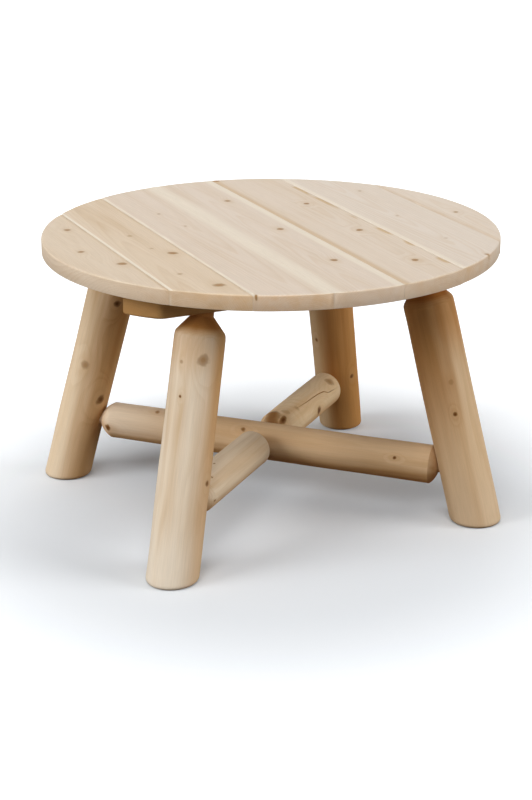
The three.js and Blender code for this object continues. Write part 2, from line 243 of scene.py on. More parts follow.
# %% Node group: knot
def knot_group():
    group, start, end = new_group(
        "knot",
        [("Point", VECTOR, (0, 0, 0)), ("Root", VECTOR, (0, 0, 0)), ("Direction", VECTOR, (1, 0, 0)),
         ("Radius", NUMBER, 0.006), ("Strength", NUMBER, 1.0)],
        [("Core", NUMBER), ("Rim", NUMBER), ("Halo", NUMBER), ("Swell", NUMBER)])
    offset = calc_vector(group, "SUBTRACT", start["Point"], start["Root"])
    along = calc_vector(group, "DOT_PRODUCT", offset, start["Direction"])
    nearest = place_node(group, "ShaderNodeVectorMath", {0: start["Direction"], "Scale": along},
                         operation="SCALE").outputs["Vector"]
    aside = calc_vector(group, "SUBTRACT", offset, nearest)
    waver = place_node(group, "ShaderNodeTexNoise", {"Vector": start["Point"], "Scale": 95.0, "Detail": 1.0})
    uneven = ramp_between(group, waver.outputs["Fac"], 0.2, 0.8, 0.80, 1.25)
    distance = calc(group, "MULTIPLY", calc_vector(group, "LENGTH", aside), uneven)
    share = calc(group, "DIVIDE", distance, start["Radius"])
    core = ramp_between(group, share, 0.2, 1.3, 1.0, 0.0)
    rim = calc(group, "MULTIPLY", ramp_between(group, share, 0.35, 0.75),
               ramp_between(group, share, 0.75, 1.15, 1.0, 0.0))
    drawn_out = calc_vector(group, "MULTIPLY", aside, (1.0, 1.0, 0.45))
    reach = calc(group, "DIVIDE", calc_vector(group, "LENGTH", drawn_out), start["Radius"])
    halo = ramp_between(group, reach, 0.5, 2.4, 1.0, 0.0)
    swell = calc(group, "MULTIPLY", ramp_between(group, reach, 0.3, 4.0, 1.0, 0.0), start["Radius"])
    outward = calc(group, "MULTIPLY", calc(group, "GREATER_THAN", along, 0.0), start["Strength"])
    for name, value in (("Core", core), ("Rim", rim), ("Halo", halo), ("Swell", swell)):
        group.links.new(calc(group, "MULTIPLY", value, outward), end[name])
    return group


knot = knot_group()
print("group:", knot.name, "with", len(knot.nodes), "nodes")

# %% [markdown]
# ## Bands along a board's edge
# A board sawn near the bark has an edge of pale sapwood, and one sawn near the heart has a tan one.
# A straight stripe would look printed, because the tree was never straight. So the group measures
# from the band's middle line and lets that line waver along the grain. With `Broken` turned up, the
# band comes and goes, as a resin streak does.

# %% Node group: grain band
def grain_band_group():
    group, start, end = new_group(
        "grain band",
        [("Point", VECTOR, (0, 0, 0)), ("Middle", NUMBER, 0.0), ("Half Width", NUMBER, 0.004),
         ("Softness", NUMBER, 0.5), ("Waver", NUMBER, 0.004), ("Broken", NUMBER, 0.0),
         ("Seed", NUMBER, 0.0)],
        [("Mask", NUMBER)])
    point, seed = start["Point"], start["Seed"]
    bend = swing(group, start["Waver"], point, squash=0.5, scale=9.0, seed=seed)
    aside = calc(group, "SUBTRACT", calc(group, "ADD", part_along(group, point, "X"), bend), start["Middle"])
    share = calc(group, "DIVIDE", calc(group, "ABSOLUTE", aside), start["Half Width"])
    inner = calc(group, "SUBTRACT", 1.0, start["Softness"])
    outer = calc(group, "ADD", 1.0, start["Softness"])
    band = ramp_between(group, share, inner, outer, 1.0, 0.0)
    other_seed = calc(group, "ADD", seed, 5.0)
    along = grain_noise(group, point, squash=0.55, scale=17.0, detail=1.0, seed=other_seed)
    gaps = calc(group, "SUBTRACT", 1.0, ramp_between(group, along, 0.46, 0.56))
    kept = calc(group, "SUBTRACT", 1.0, calc(group, "MULTIPLY", start["Broken"], gaps))
    group.links.new(calc(group, "MULTIPLY", band, kept), end["Mask"])
    return group


grain_band = grain_band_group()
print("group:", grain_band.name, "with", len(grain_band.nodes), "nodes")

# %% [markdown]
# ## The colour of bare softwood
# The masks say where things are, and these functions turn them into colour. Early and late wood
# have a colour each. Broad streaks along the stem are tan where heartwood comes near, and fine
# fibres give a faint silk. End grain is browner and blotched, because its open cells soak up dirt.
# A cone cut on a log bares the browner heartwood. Painted shade browns a log on the side turned
# from the light, just below the top and on a leg's cone, and painted light makes a leg's foot
# lighter. Knots are laid over everything. Each layer multiplies or covers the one below it, as
# real stains do, which keeps the grain in sight through all of them.

# %% Layers of colour in softwood
SAPWOOD_AND_LIT_COLOUR = (0.790, 0.705, 0.585, 1)
END_GRAIN_TINT = (0.95, 0.79, 0.60, 1)
HEARTWOOD_TINT = (0.80, 0.62, 0.42, 1)
PAINTED_SHADE_TINT = (0.79, 0.54, 0.28, 1)
KNOT_STAIN_TINT = (0.72, 0.61, 0.48, 1)
KNOT_RIM_TINT = (0.55, 0.46, 0.38, 1)
HALO_STRENGTH = 0.40
STAIN_STRENGTH = 1.5
RIM_STRENGTH = 0.30


def clear_wood_colour(group, start, late, patch, fibre):
    """Early and late wood with tan streaks, pale and tan bands and the silk of fine fibres."""
    point, seed = start["Point"], start["Seed"]
    colour = blend_colour(group, late, start["Early Colour"], start["Late Colour"])
    streak = ramp_between(group, grain_noise(group, point, squash=0.05, scale=38.0, seed=seed), 0.40, 0.72)
    streak = calc(group, "MULTIPLY", calc(group, "MULTIPLY", streak, start["Streak Strength"]),
                  ramp_between(group, patch, 0.0, 1.0, 0.45, 1.0))
    tan = calc(group, "MAXIMUM", streak, start["Tan Band"])
    colour = blend_colour(group, tan, colour, start["Tan Colour"])
    # The pale band is sapwood on the boards, painted light at a leg's foot, and a lighter first end on the
    # long stretcher.
    colour = blend_colour(group, start["Pale Band"], colour, SAPWOOD_AND_LIT_COLOUR)
    shade = ramp_between(group, fibre, 0.0, 1.0, 0.955, 1.03)
    grey = place_node(group, "ShaderNodeCombineColor", {0: shade, 1: shade, 2: shade})
    return tinted(group, 1.0, colour, grey.outputs["Color"])


def browned_and_shaded_colour(group, start, colour):
    """Dirt in end grain, heartwood that a cone bares, and painted shade where a log gets less light."""
    blotch = grain_noise(group, start["Point"], squash=0.2, scale=60.0, detail=3.0, seed=start["Seed"])
    soaked = calc(group, "MULTIPLY", start["End Grain"], ramp_between(group, blotch, 0.3, 0.7, 0.55, 1.0))
    colour = tinted(group, soaked, colour, END_GRAIN_TINT)
    colour = tinted(group, start["Heartwood"], colour, HEARTWOOD_TINT)
    # Painted shade: this tint browns a log where less light falls on it.
    return tinted(group, start["Painted Shade"], colour, PAINTED_SHADE_TINT)


def knotted_colour(group, start, colour):
    """A knot from outside in: tan halo, stained wood, dark core, and the darkest line at its rim."""
    core = start["Knot Core"]
    colour = blend_colour(group, calc(group, "MULTIPLY", start["Knot Halo"], HALO_STRENGTH), colour,
                          start["Tan Colour"])
    stain = tinted(group, 1.0, start["Tan Colour"], KNOT_STAIN_TINT)
    colour = blend_colour(group, calc(group, "MULTIPLY", core, STAIN_STRENGTH), colour, stain)
    colour = blend_colour(group, calc(group, "POWER", core, 2.0), colour, start["Knot Colour"])
    dark_rim = tinted(group, 1.0, start["Knot Colour"], KNOT_RIM_TINT)
    return blend_colour(group, calc(group, "MULTIPLY", start["Knot Rim"], RIM_STRENGTH), colour, dark_rim)


print("colour layers are ready")

# %% [markdown]
# ## Gloss and relief of bare softwood
# Planed wood is matt, and a little glossier where it is dense, in late wood and in knots. Its
# relief could be real geometry, but it is only some hundredths of a millimetre, so it goes into
# bump. The height is in millimetres: late wood stands proud, and a knot's rim has shrunk a little.

# %% Node group: bare softwood
FIBRE_HEIGHT = 0.035
LATE_WOOD_HEIGHT = 0.05
KNOT_RIM_DEPTH = 0.16
KNOT_CORE_HEIGHT = 0.06
KNOT_GLOSS = 0.16
LATE_WOOD_GLOSS = 0.05


def softwood_group():
    group, start, end = new_group(
        "bare softwood",
        [("Point", VECTOR, (0, 0, 0)), ("Late Wood", NUMBER, 0.0), ("Knot Core", NUMBER, 0.0),
         ("Knot Rim", NUMBER, 0.0), ("Knot Halo", NUMBER, 0.0), ("End Grain", NUMBER, 0.0),
         ("Pale Band", NUMBER, 0.0), ("Tan Band", NUMBER, 0.0), ("Heartwood", NUMBER, 0.0),
         ("Painted Shade", NUMBER, 0.0),
         ("Early Colour", COLOUR, (0.73, 0.62, 0.50, 1)), ("Late Colour", COLOUR, (0.62, 0.47, 0.32, 1)),
         ("Tan Colour", COLOUR, (0.60, 0.43, 0.26, 1)), ("Knot Colour", COLOUR, (0.36, 0.22, 0.11, 1)),
         ("Ring Strength", NUMBER, 0.5), ("Streak Strength", NUMBER, 0.4), ("Seed", NUMBER, 0.0)],
        [("Color", COLOUR), ("Roughness", NUMBER), ("Height", NUMBER)])
    point, seed = start["Point"], start["Seed"]
    patch = ramp_between(group, grain_noise(group, point, squash=0.35, scale=9.0, seed=seed), 0.35, 0.7)
    fibre = ramp_between(group, grain_noise(group, point, squash=0.018, scale=1100.0, seed=seed), 0.3, 0.7)
    late = calc(group, "MULTIPLY", start["Late Wood"], start["Ring Strength"])
    late = calc(group, "MULTIPLY", late, ramp_between(group, patch, 0.0, 1.0, 0.55, 1.0))

    colour = clear_wood_colour(group, start, late, patch, fibre)
    colour = browned_and_shaded_colour(group, start, colour)
    colour = knotted_colour(group, start, colour)

    roughness = ramp_between(group, fibre, 0.0, 1.0, 0.70, 0.80)
    roughness = calc(group, "SUBTRACT", roughness, calc(group, "MULTIPLY", start["Knot Core"], KNOT_GLOSS))
    roughness = calc(group, "SUBTRACT", roughness, calc(group, "MULTIPLY", late, LATE_WOOD_GLOSS))

    height = calc(group, "MULTIPLY", fibre, FIBRE_HEIGHT)
    height = calc(group, "ADD", height, calc(group, "MULTIPLY", start["Late Wood"], LATE_WOOD_HEIGHT))
    height = calc(group, "SUBTRACT", height, calc(group, "MULTIPLY", start["Knot Rim"], KNOT_RIM_DEPTH))
    height = calc(group, "ADD", height, calc(group, "MULTIPLY", start["Knot Core"], KNOT_CORE_HEIGHT))
    for name, value in (("Color", colour), ("Roughness", roughness), ("Height", height)):
        group.links.new(value, end[name])
    return group


softwood = softwood_group()
print("group:", softwood.name, "with", len(softwood.nodes), "nodes")

# %% [markdown]
# ## Where each mask lies
# Knots, bands, bared heartwood, painted shade and painted light are masks that belong to one piece.
# They could be painted by hand on the finished mesh. Here each follows from what it stands for: a
# branch, the board's edge, the depth below the bark, or how the light falls on a log, so it stays
# right when a shape changes.
# Heights are measured along the log from its foot or its first end.

# %% Masks for one piece
SIDE_SOFTNESS = 1.05
SIDE_STRENGTH = 0.95
FOOT_HEIGHT = 0.08
FOOT_LIGHT_REACH = 0.38
CONE_SHADE_BEGINS = 0.045
CONE_SHADE_FULL = 0.015


def painted_shade_on_log(tree, own_point, normal, towards, shoulder, painted_shade_under_top, faint_at, at_foot):
    """Painted shade on a log: on the side turned from the light and, on a leg, below the top and on its
    cone.
    """
    facing = calc_vector(tree, "DOT_PRODUCT", normal, towards)
    if shoulder is None:
        return ramp_between(tree, facing, 0.0, 0.9)
    height = part_along(tree, own_point, "Z")
    foot_light = ramp_between(tree, height, FOOT_HEIGHT, FOOT_LIGHT_REACH, at_foot, SIDE_STRENGTH)
    turned_away = ramp_between(tree, facing, faint_at, faint_at + SIDE_SOFTNESS)
    side = calc(tree, "MULTIPLY", turned_away, foot_light)
    shade_begins = shoulder - 0.06 - 0.13 * painted_shade_under_top
    near_top = ramp_between(tree, height, shade_begins, shoulder - 0.05, 0.0, painted_shade_under_top)
    cone = ramp_between(tree, height, shoulder - CONE_SHADE_BEGINS, shoulder - CONE_SHADE_FULL)
    return strongest(tree, [side, near_top, cone])


def lighter_start_mask(tree, own_point, share, reach):
    """A lighter start of a log, which fades out at `reach` metres. On a leg's foot it is painted light."""
    return ramp_between(tree, part_along(tree, own_point, "Z"), reach, 0.2 * reach, 0.0, share)


def bared_heart(tree, own_point, depth, share):
    """Heartwood shows where a cut goes deeper than the sapwood, nearer to the axis than `depth`."""
    return ramp_between(tree, from_axis(tree, own_point), depth, depth * 0.8, 0.0, share)


def band_masks(tree, own_point, normal, bands, seed):
    """The pale and tan bands of one board, on the side that shows."""
    show_side = ramp_between(tree, calc(tree, "MULTIPLY", part_along(tree, normal, "Y"), -1.0), 0.25, 0.75)
    painted = {}
    for kind, middle, half_width, softness, waver, broken, strength in bands:
        band = place_group(tree, grain_band, {
            "Point": own_point, "Middle": middle, "Half Width": half_width * MM, "Softness": softness,
            "Waver": waver * MM, "Broken": broken, "Seed": seed + middle * 100})
        shown = calc(tree, "MULTIPLY", band.outputs["Mask"], show_side)
        painted.setdefault(kind, []).append(calc(tree, "MULTIPLY", shown, strength))
    return {kind: strongest(tree, masks) for kind, masks in painted.items()}


print("masks are ready")

# %% [markdown]
# ## One material for each stick of wood
# No two boards share their rings or knots, so each piece gets its own material from one function.
# The point that the groups see is the object's own coordinate with Z along the grain. `pith` moves
# it to where the heart of the tree was, and `tilt` leans the heart, which draws cathedrals. Knots
# are given where they show, in the object's own frame, and run inwards from there.

# %% Wood material
WOOD_SPECULAR = 0.15


def empty_material(name):
    material = bpy.data.materials.new(name)
    material.use_nodes = True
    material.node_tree.nodes.clear()
    return material


def solid_surface(tree, colour, roughness, height):
    """The shader that ends a material, with a bump whose height is in millimetres."""
    bump = place_node(tree, "ShaderNodeBump", {"Strength": 1.0, "Distance": MM, "Height": height})
    surface = place_node(tree, "ShaderNodeBsdfPrincipled", {
        "Base Color": colour, "Roughness": roughness, "Normal": bump.outputs["Normal"]})
    place_node(tree, "ShaderNodeOutputMaterial", {"Surface": surface.outputs["BSDF"]})
    return surface


def wood_material(name, tone, knots, bands=()):
    material = empty_material(name)
    tree = material.node_tree
    texture_point = place_node(tree, "ShaderNodeTexCoord").outputs
    own_point, normal = texture_point["Object"], texture_point["Normal"]
    on_end = calc(tree, "ABSOLUTE", part_along(tree, normal, "Z"))
    branches = [place_group(tree, knot, {"Point": own_point, "Root": root, "Direction": direction,
                                         "Radius": radius, "Strength": strength}).outputs
                for root, direction, radius, strength in knots]
    from_pith = place_node(tree, "ShaderNodeMapping", {
        "Vector": own_point, "Location": tone["pith"], "Rotation": tone["tilt"]},
        vector_type="TEXTURE").outputs["Vector"]
    rings = place_group(tree, growth_rings, {
        "Point": from_pith, "Ring Width": tone["ring_width"], "Wander": tone["wander"],
        "Seed": tone["seed"]})

    masks = {"Late Wood": rings.outputs["Late Wood"],
             "End Grain": ramp_between(tree, on_end, 0.35, 0.95, 0.0, tone["ends"])}
    masks.update(band_masks(tree, own_point, normal, bands, tone["seed"]))
    # Painted shade on a log's shaded side and, on a leg, below the top and on its cone.
    if tone["painted_shade"]:
        masks["Painted Shade"] = painted_shade_on_log(tree, own_point, normal, *tone["painted_shade"])
    # On a leg this lighter start is painted light at its foot; on the long stretcher it lightens the first
    # end.
    if tone["lighter_start"]:
        masks["Pale Band"] = lighter_start_mask(tree, own_point, *tone["lighter_start"])
    if tone["heart"]:
        masks["Heartwood"] = bared_heart(tree, own_point, tone["heart"], tone["heart_share"])
    if branches:
        tree.links.new(strongest(tree, [branch["Swell"] for branch in branches]), rings.inputs["Swell"])
        for mask in ("Core", "Rim", "Halo"):
            masks["Knot " + mask] = strongest(tree, [branch[mask] for branch in branches])

    wood = place_group(tree, softwood, {
        "Point": own_point, "Early Colour": tone["early"], "Late Colour": tone["late"],
        "Tan Colour": tone["tan"], "Knot Colour": tone["knot"], "Ring Strength": tone["rings"],
        "Streak Strength": tone["streaks"], "Seed": tone["seed"], **masks}).outputs
    surface = solid_surface(tree, wood["Color"], wood["Roughness"], wood["Height"])
    surface.inputs["Specular IOR Level"].default_value = WOOD_SPECULAR
    return material


print("wood_material is ready")

# %% [markdown]
# ## From rings and grids to pieces
# A piece could start from a Blender cylinder or cube and be edited, but logs and planks are easier
# to say as rows of points, so every piece is one closed skin. One helper turns points and faces
# into a mesh, and another rides it on the frame and hides the CAD node that it stands for. Holes
# are cut afterwards with a boolean, as a drill would.

# %% Helpers for pieces
ARRIS_ANGLE = math.radians(35)


def at_angle(angle, radius=1.0, height=0.0):
    """The point at an angle and a radius round the Z axis."""
    return Vector((radius * math.cos(angle), radius * math.sin(angle), height))


def shade_smooth(mesh):
    mesh.polygons.foreach_set("use_smooth", [True] * len(mesh.polygons))
    mesh.set_sharp_from_angle(angle=ARRIS_ANGLE)


def mesh_of(name, points, faces, material):
    mesh = bpy.data.meshes.new(name)
    mesh.from_pydata(points, [], faces)
    mesh.materials.append(material)
    shade_smooth(mesh)
    return mesh


def set_in_frame(name, node, mesh, place):
    """Puts a mesh where it belongs, lets it ride on the frame and hides the CAD node."""
    piece = bpy.data.objects.new(name, mesh)
    bpy.context.scene.collection.objects.link(piece)
    piece.matrix_world = place
    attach(piece, "root")
    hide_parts(node)
    return piece


def skin_of_rings(rings):
    """Closed skin round a stack of rings, with a point in the middle of each end."""
    count = len(rings[0])
    points = [point for ring in rings for point in ring]
    pairs = [(i, (i + 1) % count) for i in range(count)]
    faces = []
    for low in range(0, len(points) - count, count):
        high = low + count
        faces += [(low + i, low + j, high + j, high + i) for i, j in pairs]
    last, first_middle, last_middle = len(points) - count, len(points), len(points) + 1
    points += [sum(ring, Vector()) / count for ring in (rings[0], rings[-1])]
    faces += [(j, i, first_middle) for i, j in pairs]
    faces += [(last + i, last + j, last_middle) for i, j in pairs]
    return points, faces


print("piece helpers are ready")

# %% [markdown]
# ## Cutters
# A bore could be built into each skin, but then every ring would have to know of it. A boolean
# takes any closed mesh away from any other. Its modifier is applied at once, so each piece is a
# plain mesh in the end and no cutter is left in the scene.

# %% Helpers for cuts
BORE_SIDES = 64


def cut_away(piece, cutters):
    """Subtracts closed meshes, each given as points and faces in world space, and keeps the result."""
    for points, faces in cutters:
        mesh = bpy.data.meshes.new("cutter")
        mesh.from_pydata(points, [], faces)
        cutter = bpy.data.objects.new("cutter", mesh)
        bpy.context.scene.collection.objects.link(cutter)
        step = piece.modifiers.new("cut", "BOOLEAN")
        step.operation = "DIFFERENCE"
        step.solver = "MANIFOLD"
        step.object = cutter
        bpy.context.view_layer.update()
        depsgraph = bpy.context.evaluated_depsgraph_get()
        result = bpy.data.meshes.new_from_object(piece.evaluated_get(depsgraph))
        piece.modifiers.remove(step)
        old = piece.data
        piece.data = result
        bpy.data.objects.remove(cutter)
        bpy.data.meshes.remove(mesh)
        bpy.data.meshes.remove(old)
    piece.data.name = piece.name
    shade_smooth(piece.data)


def bar(start, direction, near, far, radius):
    """A round bar between two distances along a line, as points and faces in world space."""
    across = direction.orthogonal().normalized()
    beside = direction.cross(across)
    rings = []
    for distance in (near, far):
        ring = []
        for i in range(BORE_SIDES):
            angle = 2 * math.pi * i / BORE_SIDES
            ring.append(start + direction * distance
                        + (across * math.cos(angle) + beside * math.sin(angle)) * radius)
        rings.append(ring)
    return skin_of_rings(rings)


print("cutting helpers are ready")

# %% [markdown]
# ## Where the logs run
# The logs could be placed by typing in the numbers of the model, but the frame's own meshes say it
# exactly. The middles of a log's two end faces give its axis. The points that are farthest from
# the axis near each end give the thickness there, and the points at the tenon's radius show where
# its shoulders start.

# %% Measure the logs in the frame
FACE_REACH = 0.1 * MM
TENON_TOLERANCE = 0.03 * MM
END_MARGIN = 5 * MM
leg_foot_zone = 20 * MM
stretcher_end_zone = 100 * MM
leg_tenon_radius = 19 * MM
stretcher_tenon_radius = 12.5 * MM


def middle_of(points):
    low = Vector([min(point[i] for point in points) for i in range(3)])
    high = Vector([max(point[i] for point in points) for i in range(3)])
    return (low + high) / 2


def measure_log(node, towards, side, tenon_radius, end_zone):
    """Axis, thickness and shoulders of a log. Its own frame starts at the first end face."""
    points = [vertex.co.copy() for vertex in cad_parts[node].data.vertices]
    reaches = [point.dot(towards) for point in points]
    start = middle_of([p for p, reach in zip(points, reaches) if reach < min(reaches) + FACE_REACH])
    end = middle_of([p for p, reach in zip(points, reaches) if reach > max(reaches) - FACE_REACH])
    direction = (end - start).normalized()
    length = (end - start).length
    across = (side - direction * side.dot(direction)).normalized()
    turn = Matrix((across, direction.cross(across), direction)).transposed().to_4x4()
    place = Matrix.Translation(start) @ turn
    own = [place.inverted() @ point for point in points]
    found = [(point.z, math.hypot(point.x, point.y)) for point in own]
    on_tenon = [along for along, radius in found
                if abs(radius - tenon_radius) < TENON_TOLERANCE and END_MARGIN < along < length - END_MARGIN]
    return {"node": node, "direction": direction, "length": length, "place": place,
            "first_radius": max(radius for along, radius in found if along < end_zone),
            "last_radius": max(radius for along, radius in found if along > length / 2),
            "shoulders": (min(on_tenon), max(on_tenon))}


up = Vector((0, 0, 1))
to_the_right = Vector((1, 0, 0))
long_way = Vector((0.7448, -0.6667, -0.0291))
cross_way = Vector((0.7308, 0.6824, -0.0154))
legs = {name: measure_log(f"leg_{name}", up, to_the_right, leg_tenon_radius, leg_foot_zone)
        for name in ("left", "front", "right", "back")}
stretchers = {name: measure_log(f"stretcher_{name}", way, up, stretcher_tenon_radius, stretcher_end_zone)
              for name, way in (("long", long_way), ("front", cross_way), ("back", cross_way))}
for log in (*legs.values(), *stretchers.values()):
    print(log["node"], "radii mm", round(log["first_radius"] / MM, 1), round(log["last_radius"] / MM, 1),
          "length", round(log["length"] / MM, 1), "shoulders", [round(s / MM, 1) for s in log["shoulders"]])

# %% [markdown]
# ## The skin of a peeled log
# A log peeled with a drawknife keeps the tree's own form. It is not a cylinder: it swells and
# wavers, it bulges softly round each knot, and long shallow facets remain where the knife ran. A
# Displace modifier on a cylinder could waver it, but it wouldn't know the knots or the cuts. So
# the skin is made from rings, called stations: each has a place along the axis, a radius, a
# levelness that says how far it has turned from square across the log to level with the floor,
# and a share of the natural waver, which fades out where a tool has cut.

# %% Log skin
LOG_SIDES = 96
RING_STEP = 4 * MM
WAVER = 0.55 * MM
WAVER_SCALES = (1.1, 5)
FACET = 0.30 * MM
FACET_SCALES = (3.2, 9)
NOISE_GAIN = 1.6
KNOT_SPREAD = 1.4
KNOT_STRETCH = 0.6
LEVEL_UNTIL = 6 * MM
CUT_MARGIN = 2 * MM
WAVER_FADE = 25 * MM


def skin_of_log(log, stations, knots, seed):
    slopes = log["place"].to_3x3().transposed() @ up
    rings = []
    for along, radius, levelness, waver in stations:
        ring = []
        for i in range(LOG_SIDES):
            angle = 2 * math.pi * i / LOG_SIDES
            wave_place = Vector((seed, 0, along * WAVER_SCALES[1]))
            facet_place = Vector((0, seed, along * FACET_SCALES[1]))
            wave = noise.noise(at_angle(angle) * WAVER_SCALES[0] + wave_place)
            facet = noise.noise(at_angle(angle) * FACET_SCALES[0] + facet_place)
            r = radius + waver * (WAVER * wave + FACET * facet) * NOISE_GAIN
            for knot_along, knot_angle, knot_radius, bulge in knots:
                aside = math.remainder(angle - knot_angle, 2 * math.pi) * radius
                apart = ((along - knot_along) * KNOT_STRETCH) ** 2 + aside ** 2
                r += waver * bulge * math.exp(-apart / (2 * (KNOT_SPREAD * knot_radius) ** 2))
            tilt = (slopes.x * math.cos(angle) + slopes.y * math.sin(angle)) / slopes.z
            ring.append(at_angle(angle, r, along - levelness * r * tilt))
        rings.append(ring)
    return skin_of_rings(rings)


def smooth_step(value, low, high):
    share = min(max((value - low) / (high - low), 0.0), 1.0)
    return share * share * (3 - 2 * share)


def body_stations(log, begin, end, square_from=None):
    """Rings every few millimetres between two places along the log, with its natural waver."""
    count = max(2, round((end - begin) / RING_STEP))
    stations = []
    for step in range(1, count):
        along = begin + (end - begin) * step / count
        share = along / log["length"]
        radius = log["first_radius"] + (log["last_radius"] - log["first_radius"]) * share
        levelness = 0.0 if square_from is None else 1 - smooth_step(along, LEVEL_UNTIL, square_from)
        opening = smooth_step(along, begin - CUT_MARGIN, begin + WAVER_FADE)
        closing = smooth_step(-along, -end, -end + WAVER_FADE)
        stations.append((along, radius, levelness, opening * closing))
    return stations


def square_across(places):
    """Rings that stay square across the log and don't waver, as a cutter leaves them."""
    return [(along, radius, 0.0, 0.0) for along, radius in places]


print("log helpers are ready:", LOG_SIDES, "points round a log")

# %% [markdown]
# ## Shoulders
# A tenon cutter works like a large pencil sharpener. It leaves a cone on a leg, and the log's skin
# rolls softly into it. The stretchers' ends were hewn by hand, so theirs is between a cone and a
# bullet. Both could come from a bevel, but a bevel on a wavering log is uneven, so the profile
# itself is given as places and radii.

# %% Shoulder profiles
ARC_STEPS = 6
HEWN_STEPS = 12


def shoulder_stations(at, towards, log_radius, tenon_radius, cone_angle, rounding):
    """Places and radii from the tenon up the cone and round its soft shoulder."""
    cone_length = (log_radius - tenon_radius) / math.tan(cone_angle)
    arc_middle = cone_length + rounding * math.tan(cone_angle / 2)
    arc = []
    for step in range(ARC_STEPS + 1):
        turn = math.pi / 2 + cone_angle * (1 - step / ARC_STEPS)
        arc.append((arc_middle + rounding * math.cos(turn),
                    log_radius - rounding + rounding * math.sin(turn)))
    arc_begins, arc_radius = arc[0]
    cone = [(arc_begins * step / ARC_STEPS, tenon_radius + (arc_radius - tenon_radius) * step / ARC_STEPS)
            for step in range(ARC_STEPS)]
    return [(at + towards * along, radius) for along, radius in cone + arc]


def hewn_stations(at, towards, log_radius, tenon_radius, end_length):
    """Places and radii from the tenon over a hewn end, halfway between a cone and a bullet."""
    full_length = end_length / math.sqrt(1 - (tenon_radius / log_radius) ** 2)
    last_turn = math.acos(tenon_radius / log_radius)
    places = []
    for step in range(HEWN_STEPS + 1):
        turn = last_turn * (1 - step / HEWN_STEPS)
        from_body = full_length * math.sin(turn)
        bullet = log_radius * math.cos(turn)
        cone = log_radius - (log_radius - tenon_radius) * from_body / end_length
        places.append((at + towards * (end_length - from_body), (bullet + cone) / 2))
    return places


print("shoulder profiles are ready")

# %% [markdown]
# ## Mortises and a drying check
# The frame says which log enters which. Each stretcher's tenon is pushed into a bored mortise, so
# the same line and radius are used to bore the leg, with a little room for glue. A check is a crack
# that opens along the grain as a log dries, because its outside shrinks first. It could be a dark
# line in the material, but light has to fall into it, so it is a thin wedge cut out of the wood.

# %% Mortise and drying check
GLUE_GAP = 0.3 * MM
CLEAR_OF_SKIN = 3 * MM
CHECK_MOUTH = 1.3
CHECK_BOTTOM = 0.12
CHECK_FULLNESS = 0.6


def mortise_for(stretcher, at_start):
    """A boring for one end of a stretcher, from its shoulder to just past the tenon's end."""
    log = stretchers[stretcher]
    first, last = log["shoulders"]
    near, far = (-GLUE_GAP, first) if at_start else (last, log["length"] + GLUE_GAP)
    return bar(log["place"].translation, log["direction"], near, far, stretcher_tenon_radius + GLUE_GAP)


def drying_check(log, path, width, depth):
    """A thin wedge that opens and closes along a path of (along, angle) places on a log's skin."""
    outside = log["first_radius"] + CLEAR_OF_SKIN
    rings = []
    for index, (along, angle) in enumerate(path):
        opening = math.sin(math.pi * (index + 0.5) / len(path)) ** CHECK_FULLNESS
        inside = log["first_radius"] - depth * opening
        half = width * opening / 2
        middle, outward = Vector((0, 0, along)), at_angle(angle)
        beside = Vector((-math.sin(angle), math.cos(angle), 0))
        high, low = middle + outward * outside, middle + outward * inside
        mouth, bottom = beside * half * CHECK_MOUTH, beside * half * CHECK_BOTTOM
        ring = [high - mouth, high + mouth, low + bottom, low - bottom]
        rings.append([log["place"] @ point for point in ring])
    return skin_of_rings(rings)


print("joint helpers are ready")

# %% [markdown]
# ## Wood tones
# All of it is one kind of pale softwood, so the looks share their tones and differ in where the
# pith lay, how wide the rings are and how much tan shows. A look is a set of named values for the
# one wood material, which is easier to compare than a dozen materials. Colours are linear, as light
# adds up. Ring widths, wander and the depth of the heart are in millimetres.

# %% Looks
LOG_KNOT_COLOUR = (0.12, 0.04, 0.006)
LATE_SHARES = (0.84, 0.76, 0.64)
TAN_SHARES = (0.73, 0.59, 0.42)
SAPWOOD_DEPTH = 3


def look(pith, ring_width, rings, streaks, seed, wander=5.0, tilt=(0.0, 0.0, 0.0),
         early=(0.70, 0.59, 0.475), late=(0.60, 0.44, 0.29), tan=(0.58, 0.42, 0.26),
         knot_colour=(0.30, 0.16, 0.05), ends=1.0, heart=0.0, heart_share=1.0, painted_shade=None,
         lighter_start=None):
    return {"pith": pith, "ring_width": ring_width * MM, "wander": wander * MM, "rings": rings,
            "streaks": streaks, "seed": seed, "tilt": tilt, "early": (*early, 1), "late": (*late, 1),
            "tan": (*tan, 1), "knot": (*knot_colour, 1), "ends": ends, "heart": heart * MM,
            "heart_share": heart_share, "painted_shade": painted_shade, "lighter_start": lighter_start}


def log_look(log, pith, ring_width, seed, early, away, lighter_start, shoulder=None,
             painted_shade_under_top=0.0, faint_at=0.0, at_foot=0.0):
    """A log's pith runs nearly down its middle. Its darker tones follow from its own pale one."""
    # `away` is the way that a log's painted shade faces.
    towards = log["place"].to_3x3().transposed() @ away.normalized()
    late = [part * share for part, share in zip(early, LATE_SHARES)]
    tan = [part * share for part, share in zip(early, TAN_SHARES)]
    return look(pith=(pith[0] * MM, pith[1] * MM, 0), ring_width=ring_width, rings=0.45, streaks=0.85,
                seed=seed, wander=4.5, early=early, late=late, tan=tan, knot_colour=LOG_KNOT_COLOUR,
                ends=0.2, heart=min(log["first_radius"], log["last_radius"]) / MM - SAPWOOD_DEPTH,
                heart_share=1.0 if shoulder else 0.3, lighter_start=lighter_start,
                painted_shade=(towards, shoulder, painted_shade_under_top, faint_at, at_foot))


print("looks are ready")
